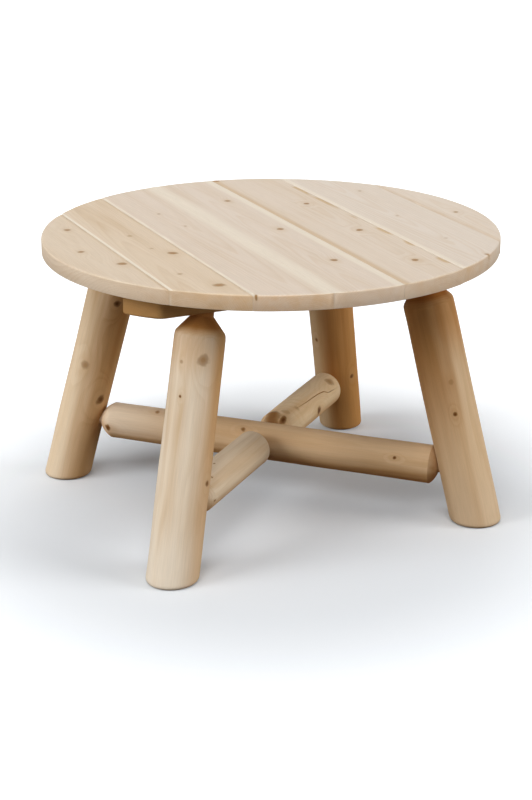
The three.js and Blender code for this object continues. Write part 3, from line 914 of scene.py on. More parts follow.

# %% [markdown]
# ## What each leg is like
# A table of named values keeps the four legs apart from the code that makes them. The knots are
# given as their distance from the foot in millimetres, their angle round the log in degrees from
# the right, their radius, how dark they are and how far they bulge. `painted_shade_side` is the way that the
# log's painted shade faces: mostly towards the middle of the table, where the light is kept off.
# `painted_shade_from` says how far round the log the painted shade starts, `painted_shade_at_foot` how much
# of it is left near the floor, and `painted_shade_under_top` how dark the painted shade is just below the
# boards.
# `lit_foot` is how much lighter the foot is painted, as painted light where the light reaches it best.

# %% The four legs' own values
leg_traits = {
    "left": {
        "pith": (5, -3), "tone": (0.79, 0.625, 0.435), "painted_shade_under_top": 0.2, "lit_foot": 0.1,
        "painted_shade_side": (1.25, -0.95, 0.0), "painted_shade_from": -0.35, "painted_shade_at_foot": 0.8,
        "mortise": ("long", True),
        "knots": [(372, -94, 6.5, 1.0, 0.9), (240, -135, 9.0, 0.45, 0.7), (177, -75, 9.5, 0.95, 1.0),
                  (300, 60, 7.0, 0.7, 0.8), (120, 140, 6.0, 0.6, 0.6)]},
    "front": {
        "pith": (-4, 4), "tone": (0.74, 0.625, 0.485), "painted_shade_under_top": 0.4, "lit_foot": 0.5,
        "painted_shade_side": (1.25, 0.45, 0.0), "painted_shade_from": -0.65, "painted_shade_at_foot": 0.65,
        "mortise": ("front", True),
        "knots": [(380, -100, 9.5, 0.55, 0.8), (373, -149, 4.0, 0.4, 0.4), (316, -142, 2.6, 1.0, 0.2),
                  (174, -51, 6.0, 0.9, 0.7), (250, 95, 8.0, 0.7, 0.9), (90, 30, 5.0, 0.6, 0.5)]},
    # The right and back legs' darker tones are partly painted shade: they stand deeper in the top's shade.
    "right": {
        "pith": (3, 5), "tone": (0.68, 0.49, 0.30), "painted_shade_under_top": 0.85, "lit_foot": 0.1,
        "painted_shade_side": (-0.9, 0.35, 0.0), "painted_shade_from": -0.65, "painted_shade_at_foot": 0.05,
        "mortise": ("long", False),
        "knots": [(219, -111, 3.8, 1.0, 0.4), (278, -105, 5.0, 0.3, 0.3), (340, 20, 7.0, 0.7, 0.8),
                  (140, 110, 6.0, 0.7, 0.7)]},
    "back": {
        "pith": (-5, -2), "tone": (0.68, 0.48, 0.28), "painted_shade_under_top": 0.9, "lit_foot": 0.0,
        "painted_shade_side": (0.6, -0.8, 0.0), "painted_shade_from": -0.5, "painted_shade_at_foot": 1.0,
        "mortise": ("back", False),
        "knots": [(132, -69, 5.0, 0.9, 0.5), (222, -164, 4.0, 0.7, 0.3), (290, -10, 7.0, 0.7, 0.8),
                  (360, 120, 6.0, 0.7, 0.6)]},
}
print("legs:", {name: len(traits["knots"]) for name, traits in leg_traits.items()}, "knots")

# %% [markdown]
# ## Knots in a log
# One list of knots serves twice, so that colour and shape agree: the material gets a branch that
# starts at the pith and leans a little up the tree, and the skin gets a bulge at the same place.

# %% Knots for the material and for the skin
BRANCH_LEAN = 0.25


def knots_in_log(knots, log):
    branches = []
    for along, angle, radius, strength, _ in knots:
        outward = at_angle(math.radians(angle), height=BRANCH_LEAN).normalized()
        root = (0, 0, along * MM - BRANCH_LEAN * log["first_radius"])
        branches.append((root, outward, radius * MM, strength))
    return branches


def knot_bulges(knots):
    return [(along * MM, math.radians(angle), radius * MM, bulge * MM)
            for along, angle, radius, _, bulge in knots]


print("knot helpers are ready")

# %% [markdown]
# ## The four legs
# Each leg is a peeled log that leans inwards. Its foot is sawn level with a softened edge. Near the
# top a cutter has turned a cone and a tenon, which goes up through the batten. A leaning cylinder
# with its ends cut off would have oval rings, so the rings start level at the foot, turn square to
# the log above it, and turn level again inside the tenon.

# %% Legs
leg_cone_angle = math.radians(40)
leg_shoulder_rounding = 13 * MM
foot_rounding = 8 * MM
foot_steps = 5
level_zone = 85 * MM
tenon_steps = 10
# How far up a leg the painted light at its foot reaches, in metres.
lit_foot_reach = 0.13


def foot_stations(foot_radius, slope):
    """The rounded edge of a foot that is sawn level, though the log leans."""
    stations = []
    for step in range(foot_steps + 1):
        turn = math.radians(90 * step / foot_steps)
        height = foot_rounding * (1 - math.cos(turn))
        stations.append((height / slope, foot_radius - foot_rounding * (1 - math.sin(turn)), 1.0, 0.0))
    return stations


def leg_tenon_stations(start, length):
    stations = []
    for step in range(1, tenon_steps + 1):
        share = step / tenon_steps
        stations.append((start + (length - start) * share, leg_tenon_radius, smooth_step(share, 0, 1), 0.0))
    return stations


for number, (name, log) in enumerate(legs.items()):
    traits = leg_traits[name]
    tenon_start = log["shoulders"][0]
    shoulder = shoulder_stations(tenon_start, -1, log["last_radius"], leg_tenon_radius,
                                 leg_cone_angle, leg_shoulder_rounding)
    stations = foot_stations(log["first_radius"], log["direction"].z)
    stations += body_stations(log, stations[-1][0], shoulder[-1][0], level_zone)
    stations += square_across(reversed(shoulder))
    stations += leg_tenon_stations(tenon_start, log["length"])
    points, faces = skin_of_log(log, stations, knot_bulges(traits["knots"]), 10.0 + 7 * number)
    # Each leg's look carries painted shade on its side and below the top, and painted light at its foot.
    tone = log_look(log, traits["pith"], 2.6 + 0.3 * number, 3.0 + number, traits["tone"],
                    Vector(traits["painted_shade_side"]), (traits["lit_foot"], lit_foot_reach), tenon_start,
                    traits["painted_shade_under_top"], traits["painted_shade_from"], traits["painted_shade_at_foot"])
    wood = wood_material(f"peeled_log_leg_{name}", tone, knots_in_log(traits["knots"], log))
    skin = mesh_of(f"log_leg_{name}", points, faces, wood)
    piece = set_in_frame(f"log_leg_{name}", f"leg_{name}", skin, log["place"])
    cut_away(piece, [mortise_for(*traits["mortise"])])
    print(piece.name, len(piece.data.polygons), "faces", len(traits["knots"]), "knots")

# %% [markdown]
# ## The cross of stretchers
# One long log ties the left leg to the right one. Two shorter logs meet it from both sides on the
# other diagonal. Their ends are hewn blunt and scribed to the log that they enter, so they reach a
# few millimetres into its skin: square ends would leave a gap at a round log. `reaches` says how
# far at each end, and `hewn` how long each blunt end is, both in millimetres. `lighter_start` is how
# strong the lighter colour at the log's first end is, and how far it reaches in metres.

# %% The stretchers' own values
stretcher_traits = {
    "long": {
        "pith": (4, 3), "tone": (0.70, 0.49, 0.29), "hewn": (22, 14), "reaches": (3, 4),
        "lighter_start": (0.55, 0.30),
        "knots": [(631, 64, 3.2, 1.0, 0.3), (171, 21, 5.0, 0.55, 0.5), (80, 98, 6.0, 1.0, 0.8),
                  (343, 41, 4.5, 0.7, 0.4), (480, 200, 7.0, 0.7, 0.8), (250, -120, 6.0, 0.7, 0.7)]},
    "front": {
        "pith": (-3, 4), "tone": (0.715, 0.58, 0.42), "hewn": (22, 22), "reaches": (2, 2),
        "lighter_start": None,
        "knots": [(149, 3, 2.0, 0.8, 0.2), (101, 35, 2.0, 0.8, 0.2), (84, 101, 2.5, 0.8, 0.2),
                  (240, 170, 6.0, 0.7, 0.7)]},
    "back": {
        "pith": (3, -4), "tone": (0.78, 0.59, 0.37), "hewn": (22, 22), "reaches": (2, 2),
        "lighter_start": None,
        "knots": [(276, 37, 11.0, 0.5, 0.8), (185, 94, 9.0, 1.0, 0.7), (43, 36, 6.5, 1.0, -0.4),
                  (42, -10, 16.0, 0.75, -0.5), (66, 22, 9.0, 0.3, 0.2), (104, 36, 6.0, 0.3, 0.2),
                  (120, -120, 6.0, 0.7, 0.6)]},
}
print("stretchers:", {name: len(traits["knots"]) for name, traits in stretcher_traits.items()}, "knots")

# %% Stretchers
tenon_chamfer = 1 * MM
stretcher_pieces = {}
for number, (name, log) in enumerate(stretchers.items()):
    traits = stretcher_traits[name]
    radius = stretcher_tenon_radius
    first, last = log["shoulders"]
    rest = log["length"] - last
    first_hewn, last_hewn = traits["hewn"]
    first_reach, last_reach = traits["reaches"]
    opening = hewn_stations(first - first_reach * MM, 1, log["first_radius"], radius, first_hewn * MM)
    closing = hewn_stations(last + last_reach * MM, -1, log["last_radius"], radius, last_hewn * MM)
    first_tenon = [(0, radius - tenon_chamfer), (tenon_chamfer, radius)]
    first_tenon += [(first * share, radius) for share in (0.3, 0.6, 0.8)]
    last_tenon = [(last + rest * share, radius) for share in (0.2, 0.4, 0.7)]
    last_tenon += [(log["length"] - tenon_chamfer, radius), (log["length"], radius - tenon_chamfer)]
    stations = square_across(first_tenon + opening)
    stations += body_stations(log, opening[-1][0], closing[-1][0])
    stations += square_across(closing[::-1] + last_tenon)
    points, faces = skin_of_log(log, stations, knot_bulges(traits["knots"]), 60.0 + 9 * number)
    # The stretchers' look carries painted shade on their undersides, which face down.
    tone = log_look(log, traits["pith"], 2.4, 11.0 + number, traits["tone"], -up, traits["lighter_start"])
    wood = wood_material(f"peeled_log_stretcher_{name}", tone, knots_in_log(traits["knots"], log))
    skin = mesh_of(f"log_stretcher_{name}", points, faces, wood)
    piece = set_in_frame(f"log_stretcher_{name}", f"stretcher_{name}", skin, log["place"])
    stretcher_pieces[name] = piece
    print(piece.name, len(piece.data.polygons), "faces")

# %% [markdown]
# ## Joints in the stretchers
# The long log is bored from both sides for the two short ones. The back log has one drying check.
# It wanders from straight grain to spiral grain, so its path is a short list of places along the
# log in millimetres and angles in degrees, with two more places put in between each pair.

# %% Bore the long log and open the check
check_width = 2.4 * MM
check_depth = 5 * MM
check_turns = [(96, 35), (130, 39), (160, 42), (179, 43), (205, 45), (228, 50), (246, 64), (270, 67),
               (296, 71)]
check_path = []
for (along, angle), (next_along, next_angle) in zip(check_turns, check_turns[1:]):
    for share in (0, 1 / 3, 2 / 3):
        check_path.append(((along + (next_along - along) * share) * MM,
                           math.radians(angle + (next_angle - angle) * share)))
cut_away(stretcher_pieces["long"], [mortise_for("front", False), mortise_for("back", True)])
cut_away(stretcher_pieces["back"], [drying_check(stretchers["back"], check_path, check_width, check_depth)])
print("two mortises and one drying check are cut, the check in", len(check_path), "places")

# %% [markdown]
# ## The outline of a plank
# Boards and battens are both planks: two long sides, ends sawn to a circle, and edges eased with
# plane and sandpaper. A disc cut into strips would give the outline, but not an eased edge of even
# width. So the outline is worked out for any inset. A rim board has an open side that is part of
# the circle. The plank's own frame has X across it, Y going in from its show face and Z along the
# grain. A sawn rim is never a perfect circle, so it wavers and is a little wider in one direction.

# %% Plank outline
OPEN_ANGLE = math.radians(17)
SAW_WAVER = 0.3 * MM
LOPSIDED = 0.2


def round_corners(low_end, high_end, left, right, rounding):
    """Narrows both ends by half the rounding on each side and lets the long sides curve in to them."""
    for end in (low_end, high_end):
        corner = abs(end[0].x)
        for point in end:
            point.x *= (corner - rounding / 2) / corner
    for side, inward in ((left, 1), (right, -1)):
        first, last = side[0].copy(), side[-1].copy()
        for point in side:
            apart = min((point - first).length, (point - last).length)
            point.x += inward * rounding / 2 * max(0.0, 1 - apart / rounding) ** 2


def rim_place(plank, inset, angle):
    """A point of the sawn circle, as (x, z), at an angle round the middle of the table."""
    wave = noise.noise(Vector((math.cos(angle) * 3, math.sin(angle) * 3, plank["seed"])))
    widest = math.cos(angle - plank["widest_way"])
    oval = plank["out_of_round"] * (widest * widest - LOPSIDED * widest)
    radius = plank["radius"] - inset + SAW_WAVER * wave + oval
    return Vector((plank["centre"] + radius * math.cos(angle), radius * math.sin(angle)))


def plank_sides(plank, inset, across, along):
    """The four sides of the outline, as lists of (x, z): low end, high end, left side, right side."""
    left_ease, right_ease = plank["eases"]
    left_x = None if plank["low"] is None else plank["low"] + inset * left_ease
    right_x = None if plank["high"] is None else plank["high"] - inset * right_ease
    reach = plank["radius"] - inset
    left_angle = math.pi - OPEN_ANGLE if left_x is None else math.acos((left_x - plank["centre"]) / reach)
    right_angle = OPEN_ANGLE if right_x is None else math.acos((right_x - plank["centre"]) / reach)

    def arc(from_angle, to_angle, steps):
        return [rim_place(plank, inset, from_angle + (to_angle - from_angle) * i / steps)
                for i in range(steps + 1)]

    low_end = arc(-left_angle, -right_angle, across)
    high_end = arc(left_angle, right_angle, across)
    for end in (low_end, high_end):
        if left_x is not None:
            end[0].x = left_x
        if right_x is not None:
            end[-1].x = right_x
    if left_x is None:
        left = arc(2 * math.pi - left_angle, left_angle, along)
    else:
        left = [low_end[0].lerp(high_end[0], j / along) for j in range(along + 1)]
    if right_x is None:
        right = arc(-right_angle, right_angle, along)
    else:
        right = [low_end[-1].lerp(high_end[-1], j / along) for j in range(along + 1)]
    if plank["corner_rounding"]:
        round_corners(low_end, high_end, left, right, plank["corner_rounding"])
    return low_end, high_end, left, right


print("plank outlines are ready")

# %% [markdown]
# ## The faces and edges of a plank
# The face is a grid that blends the four sides, so its quads run along the grain. From its rim,
# loops of points go over the eased edge, down the side and round to the back. A bevel modifier
# would ease all edges alike. Here each long edge has its own share, because a board that sits
# tight against its neighbour shows less of a groove. The face keeps a slight crown and the low
# waves of a hand plane.

# %% Plank faces
def fill_face(sides, across, along):
    """A grid of points that blends the four sides, column by column."""
    low_end, high_end, left, right = sides
    grid = []
    for j in range(along + 1):
        v = j / along
        for i in range(across + 1):
            u = i / across
            blend = low_end[i] * (1 - v) + high_end[i] * v + left[j] * (1 - u) + right[j] * u
            corners = (low_end[0] * (1 - u) * (1 - v) + low_end[-1] * u * (1 - v)
                       + high_end[0] * (1 - u) * v + high_end[-1] * u * v)
            grid.append(blend - corners)
    return grid


def rim_of_grid(across, along):
    """Indices round the edge of a grid, starting at its low left corner."""
    row = across + 1
    return ([i for i in range(across)] + [j * row + across for j in range(along)]
            + [along * row + i for i in range(across, 0, -1)] + [j * row for j in range(along, 0, -1)])


print("face helpers are ready, a 2 by 2 grid has the rim", rim_of_grid(2, 2))

# %% Plank skin
EASED_DEPTH = 8 * MM
CROWN = 0.25 * MM
PLANE_WAVES = 0.12 * MM


def eased(profile):
    return [(inset * MM, depth * MM) for inset, depth in profile]


def ease_at(plank, point):
    """How deep the eased edge is cut: each long edge has its own share, and the sawn ends the whole."""
    ease = 1.0
    for edge, share in zip((plank["low"], plank["high"]), plank["eases"]):
        if edge is not None:
            ease *= share + (1 - share) * smooth_step(abs(point.x - edge), 2 * MM, 22 * MM)
    return ease * (0.85 + 0.45 * noise.noise(Vector((point.x * 20, point.y * 16, plank["seed"]))))


def planed(plank, point, depth):
    """The outline's point at a depth below the show face, with the crown and waves of a planed board."""
    half = abs(point.x) / plank["half_width"]
    waves = noise.noise(Vector((point.x * 14, plank["seed"], point.y * 6)))
    crown = CROWN * half * half - PLANE_WAVES * waves
    return Vector((point.x, depth + crown * max(0.0, 1 - depth / EASED_DEPTH), point.y))


def skin_of_plank(plank, edge_profile, across, along):
    """Loops run from the show face over its eased edge, down the side and round to the back."""
    back_loops = [(inset, plank["thickness"] - depth) for inset, depth in reversed(plank["back_profile"])]
    rim = rim_of_grid(across, along)
    points = []
    faces = []
    loops = []
    for is_show, (inset, depth) in ((True, edge_profile[0]), (False, back_loops[-1])):
        first = len(points)
        sides = plank_sides(plank, inset, across, along)
        points += [planed(plank, point, depth) for point in fill_face(sides, across, along)]
        for j in range(along):
            for i in range(across):
                a = first + j * (across + 1) + i
                quad = (a, a + 1, a + across + 2, a + across + 1)
                faces.append(quad if is_show else quad[::-1])
        loops.append([first + index for index in rim])
    show_loop, back_loop = loops
    chain = [show_loop]
    for inset, depth in edge_profile[1:] + back_loops[:-1]:
        low_end, high_end, left, right = plank_sides(plank, inset, across, along)
        ring = low_end[:-1] + right[:-1] + high_end[:0:-1] + left[:0:-1]
        chain.append(list(range(len(points), len(points) + len(ring))))
        points += [planed(plank, point, depth * ease_at(plank, point) if depth < EASED_DEPTH else depth)
                   for point in ring]
    chain.append(back_loop)
    for upper, lower in zip(chain, chain[1:]):
        for i in range(len(upper)):
            j = (i + 1) % len(upper)
            faces.append((upper[j], upper[i], lower[i], lower[j]))
    return points, faces


print("plank helpers are ready")

# %% [markdown]
# ## What each top board is like
# `pith` puts the heart of each tree below or above the board, which decides how its grain runs.
# `eases` is the share of the full easing on the left and the right edge, and `sawn` how far the
# board's ends stand out or in, in millimetres. Knots are places on the top in millimetres from its
# middle, with a radius and a darkness. The palest wood is sapwood from under the bark, at a board's
# edge. A band has the place of its middle line, half its width, its softness, how far it wavers,
# how broken it is and its strength.

# %% The seven boards' own values
board_traits = {
    1: {"eases": (1.0, 0.9), "sawn": 0.0,
        "look": look(pith=(0.010, 0.035, 0), ring_width=3.0, rings=0.35, streaks=0.40, seed=1.0,
                     tilt=(0.02, 0.01, 0), early=(0.70, 0.57, 0.435), ends=0.8),
        "knots": [(-329, 153, 6.5, 0.75), (-354, 3, 6.0, 0.75), (-316, -96, 8.5, 0.75)],
        "bands": [("Tan Band", -304, 3.0, 0.6, 2.0, 0.3, 0.6),
                  ("Pale Band", -354, 40.0, 0.7, 10.0, 0.0, 0.22)]},
    2: {"eases": (1.0, 0.9), "sawn": -0.3,
        "look": look(pith=(-0.020, 0.050, 0), ring_width=2.8, rings=0.40, streaks=0.55, seed=2.0, wander=6.0,
                     tilt=(-0.02, 0.02, 0), early=(0.715, 0.585, 0.445)),
        "knots": [(-242, 67, 5.0, 0.4), (-215, -70, 8.5, 0.85), (-252, -194, 5.0, 0.4),
                  (-219, -280, 10.0, 0.7), (-237, -27, 4.0, 0.3)],
        # The narrow pale band at -298.2 lies on the eased edge at a seam and lightens the line along it.
        "bands": [("Pale Band", -298.2, 2.4, 0.35, 1.5, 0.0, 1.0),
                  ("Tan Band", -196, 3.0, 0.6, 2.0, 0.5, 0.5)]},
    3: {"eases": (1.0, 0.15), "sawn": 0.3,
        "look": look(pith=(0.015, 0.060, 0), ring_width=3.2, rings=0.30, streaks=0.30, seed=3.0,
                     tilt=(0.015, -0.01, 0), early=(0.72, 0.61, 0.505), ends=0.95),
        "knots": [(-128, 90, 3.5, 0.45), (-139, 192, 4.0, 0.4), (-188, -355, 2.5, 0.9)],
        # The narrow pale band at -190.4 lies on the eased edge at a seam and lightens the line along it.
        "bands": [("Pale Band", -190.4, 2.6, 0.4, 1.5, 0.3, 1.0),
                  ("Pale Band", -73, 15.0, 0.75, 9.0, 0.0, 0.85)]},
    4: {"eases": (0.15, 0.35), "sawn": -0.1,
        "look": look(pith=(-0.005, 0.045, 0), ring_width=2.9, rings=0.30, streaks=0.35, seed=4.0,
                     tilt=(-0.02, 0.0, 0), early=(0.72, 0.615, 0.515), ends=0.5),
        "knots": [(15, 230, 6.0, 0.9), (17, -1, 6.5, 0.9), (13, -225, 6.5, 0.9)],
        "bands": [("Pale Band", -71, 15.0, 0.75, 9.0, 0.0, 0.85),
                  ("Pale Band", 45, 8.0, 0.6, 3.0, 0.0, 0.85),
                  ("Tan Band", 51.6, 1.0, 0.5, 0.5, 0.4, 0.7)]},
    5: {"eases": (0.5, 0.7), "sawn": 0.5,
        "look": look(pith=(0.020, 0.055, 0), ring_width=3.0, rings=0.32, streaks=0.35, seed=5.0, wander=6.0,
                     tilt=(0.01, 0.02, 0), early=(0.715, 0.61, 0.505), ends=0.7),
        "knots": [(140, 149, 6.0, 0.9), (141, -67, 6.5, 0.9), (136, -282, 6.5, 0.9), (59, 391, 7.0, 0.7)],
        "bands": [("Tan Band", 56, 7.0, 0.9, 4.0, 0.0, 0.75),
                  ("Tan Band", 178.5, 5.5, 0.8, 4.0, 1.0, 1.2)]},
    6: {"eases": (0.6, 0.35), "sawn": -0.8,
        "look": look(pith=(-0.010, 0.032, 0), ring_width=4.2, rings=0.30, streaks=0.20, seed=6.0, wander=4.0,
                     tilt=(0.03, 0.0, 0), early=(0.725, 0.635, 0.545)),
        "knots": [(277, 196, 4.5, 0.4), (251, -5, 4.0, 0.35), (253, -180, 4.0, 0.3), (264, -302, 5.0, 0.6)],
        "bands": [("Pale Band", 187, 6.0, 0.6, 3.0, 0.0, 0.8),
                  ("Tan Band", 327.5, 1.5, 0.6, 1.0, 0.3, 0.8)]},
    7: {"eases": (0.4, 1.0), "sawn": -0.2,
        "look": look(pith=(0.0, 0.050, 0), ring_width=3.0, rings=0.30, streaks=0.35, seed=7.0,
                     tilt=(-0.015, 0.01, 0), early=(0.72, 0.62, 0.52)),
        "knots": [(361, -26, 5.0, 0.7)],
        "bands": [("Tan Band", 332, 4.0, 0.9, 3.0, 0.4, 0.5)]},
}
print("boards:", {number: len(traits["knots"]) for number, traits in board_traits.items()}, "knots")

# %% [markdown]
# ## The seven top boards
# The boards are glued side by side and cut to one round outline. One disc with lines on it would
# be quicker, but light falls into real seams. The upper edges are eased, so each seam shows as a
# shallow groove, and each board keeps its own ends. The easing is given as pairs in millimetres:
# how far in from the edge, and how deep below the face.

# %% Top boards
board_edge = eased([(5.0, 0.0), (3.4, 0.03), (2.5, 0.2), (1.7, 0.6), (1.0, 1.2), (0.45, 1.9), (0.12, 2.7),
                    (0.0, 3.6)])
plank_back = eased([(1.2, 0.0), (0.4, 0.4), (0.0, 1.2)])
board_quad = 5 * MM
board_rows = 130
rim_inset = 0.45 * MM
rim_out_of_round = 2.9 * MM
across_the_view = math.radians(-24.3)
knot_depth = 60 * MM
face_up = Matrix(((1, 0, 0), (0, 0, 1), (0, -1, 0))).to_4x4()
top_radius = -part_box("board_1")[0].x


def knots_in_board(knots, middle, along_lean):
    """Each branch comes up to its place on the face from below, leaning a little along the grain."""
    way = Vector((0.12, -1, along_lean)).normalized()
    return [(Vector((x * MM - middle.x, 0, y * MM)) - way * knot_depth, way, radius * MM, strength)
            for x, y, radius, strength in knots]


top_pieces = {}
for number, traits in board_traits.items():
    node = f"board_{number}"
    low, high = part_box(node)
    middle = Vector(((low.x + high.x) / 2, 0, high.z))
    half_width = (high.x - low.x) / 2
    plank = {"low": None if number == 1 else -half_width, "high": None if number == 7 else half_width,
             "centre": -middle.x, "radius": top_radius - rim_inset + traits["sawn"] * MM,
             "half_width": half_width, "thickness": high.z - low.z, "back_profile": plank_back,
             "seed": 3.0 * number, "eases": traits["eases"], "out_of_round": rim_out_of_round,
             "widest_way": across_the_view, "corner_rounding": 0.0}
    columns = max(12, round(2 * half_width / board_quad))
    points, faces = skin_of_plank(plank, board_edge, columns, board_rows)
    branches = knots_in_board(traits["knots"], middle, 0.35 if number % 2 else -0.3)
    bands = [(kind, x * MM - middle.x, *rest) for kind, x, *rest in traits["bands"]]
    wood = wood_material(f"plank_softwood_{number}", traits["look"], branches, bands)
    skin = mesh_of(f"top_board_{number}", points, faces, wood)
    top_pieces[node] = set_in_frame(f"top_board_{number}", node, skin,
                                    Matrix.Translation(middle) @ face_up)
    print(skin.name, len(skin.polygons), "faces", len(branches), "knots")

# %% [markdown]
# ## Two battens
# The battens lie across the boards and hold them flat. Their ends are sawn to follow the rim, and
# all their edges are eased. They are planks like the boards, turned with the show face down, so
# the same skin serves with a rounder edge. The legs' tenons come up through slanting bores.

# %% Battens
batten_edge = eased([(6.5, 0.0), (4.7, 0.1), (3.3, 0.5), (2.0, 1.3), (1.0, 2.5), (0.3, 4.1), (0.0, 6.0)])
batten_columns = 14
batten_rows = 200
batten_corner_rounding = 14 * MM
face_down = Matrix(((0, 0, 1), (1, 0, 0), (0, 1, 0))).to_4x4()


def leg_bore(leg):
    near, far = leg["shoulders"][0] - 25 * MM, leg["length"] + 30 * MM
    return bar(leg["place"].translation, leg["direction"], near, far, leg_tenon_radius + GLUE_GAP)


batten_pieces = {}
for number, (side, corners) in enumerate((("front", ("front", "right")), ("back", ("left", "back")))):
    node = f"batten_{side}"
    low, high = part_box(node)
    middle = Vector((0, (low.y + high.y) / 2, low.z))
    half_width = (high.y - low.y) / 2
    end_radius = math.hypot(high.x, min(abs(low.y), abs(high.y)))
    plank = {"low": -half_width, "high": half_width, "centre": -middle.y, "radius": end_radius,
             "half_width": half_width, "thickness": high.z - low.z, "back_profile": plank_back,
             "seed": 31.0 + number, "eases": (1.0, 1.0), "out_of_round": 0.0, "widest_way": 0.0,
             "corner_rounding": batten_corner_rounding}
    points, faces = skin_of_plank(plank, batten_edge, batten_columns, batten_rows)
    # Painted shade: the battens' tone is much darker than the boards' because they sit in the shade under
    # the top.
    tone = look(pith=(0.012, -0.030, 0), ring_width=2.8, rings=0.40, streaks=0.50, seed=21.0 + number,
                tilt=(0.01, 0.01, 0), early=(0.47, 0.26, 0.095), late=(0.39, 0.20, 0.065),
                tan=(0.38, 0.19, 0.06), ends=0.15)
    skin = mesh_of(f"rail_batten_{side}", points, faces, wood_material(f"batten_softwood_{side}", tone, []))
    piece = set_in_frame(f"rail_batten_{side}", node, skin,
                         Matrix.Translation(middle) @ face_down)
    cut_away(piece, [leg_bore(legs[corner]) for corner in corners])
    batten_pieces[side] = piece
    print(piece.name, len(piece.data.polygons), "faces")

# %% [markdown]
# ## Yellow zinc on steel
# Wood screws are plated with zinc and passivated, which leaves a thin golden film with rainbow
# patches. A thin-film shader could make them too, but few other programs read it. The steel is a
# metal, so its colour goes in Base Color with Metallic at 1. A slow noise moves that colour between
# gold and a greener tint, and a fine one varies the gloss.

# %% Screw finish
GOLDEN_ZINC = (0.66, 0.50, 0.24, 1)
GREENISH_ZINC = (0.60, 0.52, 0.33, 1)
GRAIN_HEIGHT = 0.02


def plated_steel_material():
    material = empty_material("yellow_zinc_steel")
    tree = material.node_tree
    own_point = place_node(tree, "ShaderNodeTexCoord").outputs["Object"]
    film = place_node(tree, "ShaderNodeTexNoise", {"Vector": own_point, "Scale": 260.0, "Detail": 2.0})
    dust = place_node(tree, "ShaderNodeTexNoise", {"Vector": own_point, "Scale": 1500.0, "Detail": 3.0})
    patches = ramp_between(tree, film.outputs["Fac"], 0.35, 0.65)
    colour = blend_colour(tree, patches, GOLDEN_ZINC, GREENISH_ZINC)
    gloss = ramp_between(tree, dust.outputs["Fac"], 0.3, 0.7, 0.28, 0.45)
    surface = solid_surface(tree, colour, gloss, calc(tree, "MULTIPLY", dust.outputs["Fac"], GRAIN_HEIGHT))
    surface.inputs["Metallic"].default_value = 1.0
    return material


plated_steel = plated_steel_material()
print("material:", plated_steel.name)

# %% [markdown]
# ## The screws
# The screws come up through the battens and stop inside the boards, so the top shows none. Each
# one is turned: a flat head with a cone below it, a shank, a rolled thread and a point. A Screw
# modifier could wind a thread of its own, but it would be open at its ends. A lathe of rings makes
# one closed skin, and moving each ring's points in and out with their angle winds the thread.

# %% Turned screw
SHANK_RADIUS = 2.1 * MM
ROOT_RADIUS = 1.45 * MM
HEAD_RADIUS = 4.2 * MM
HEAD_HEIGHT = 2.8 * MM
HEAD_RIM = 0.5 * MM
HEAD_CHAMFER = (0.15 * MM, 0.2 * MM)
POINT_LENGTH = 7 * MM
POINT_RADIUS = 0.1 * MM
POINT_FULLNESS = 1.4
THREAD_PITCH = 2.2 * MM
THREAD_LENGTH = 32 * MM
RINGS_PER_TURN = 6
SCREW_SIDES = 20


def turned(stations, sides, thread_from=None):
    """Rings about the Z axis from (height, radius) pairs. Above `thread_from` the radius winds."""
    rings = []
    for height, radius in stations:
        ring = []
        for i in range(sides):
            r = radius
            if thread_from is not None and height > thread_from and radius > ROOT_RADIUS:
                phase = (height / THREAD_PITCH - i / sides) % 1.0
                crest = max(0.0, 1 - abs(phase - 0.5) * 4)
                r = ROOT_RADIUS + (radius - ROOT_RADIUS) * crest
            ring.append(at_angle(2 * math.pi * i / sides, r, height))
        rings.append(ring)
    return skin_of_rings(rings)


def screw_stations(length):
    """The screw's profile from its head to its point."""
    thread_start, point_start = length - THREAD_LENGTH, length - POINT_LENGTH
    steps = round((point_start - thread_start) / (THREAD_PITCH / RINGS_PER_TURN))
    stations = [(0, HEAD_RADIUS - HEAD_CHAMFER[1]), (HEAD_CHAMFER[0], HEAD_RADIUS), (HEAD_RIM, HEAD_RADIUS),
                (HEAD_HEIGHT, SHANK_RADIUS), (thread_start - MM, SHANK_RADIUS)]
    stations += [(thread_start + (point_start - thread_start) * step / steps, SHANK_RADIUS)
                 for step in range(steps + 1)]
    for share in (0.1, 0.2, 0.3, 0.4, 0.5, 0.6, 0.7, 0.8, 0.9):
        radius = SHANK_RADIUS * (1 - share ** POINT_FULLNESS) + POINT_RADIUS
        stations.append((point_start + POINT_LENGTH * share, radius))
    return stations + [(length, POINT_RADIUS)]


screw_low, screw_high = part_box("screw_front_1")
screw_length = screw_high.z - screw_low.z
screw_points, screw_faces = turned(screw_stations(screw_length), SCREW_SIDES, screw_length - THREAD_LENGTH)
screw_mesh = mesh_of("steel_screw", screw_points, screw_faces, plated_steel)
print("screw:", round(screw_length / MM, 1), "mm,", len(screw_faces), "faces")

# %% [markdown]
# ## Recesses and holes
# Two thin tapered blades, crossed, cut the recess that the driver fits in. Each screw also needs a
# countersunk hole through the batten and into the board. Without it two solids would fill the same
# space, and a section through the table would look wrong.

# %% Cross recess and screw hole
HOLE_SIDES = 28
HOLE_ROOM = 0.1 * MM
BLADE_OUTSIDE = (-0.3, 2.5, 0.42)
BLADE_INSIDE = (1.9, 0.9, 0.30)


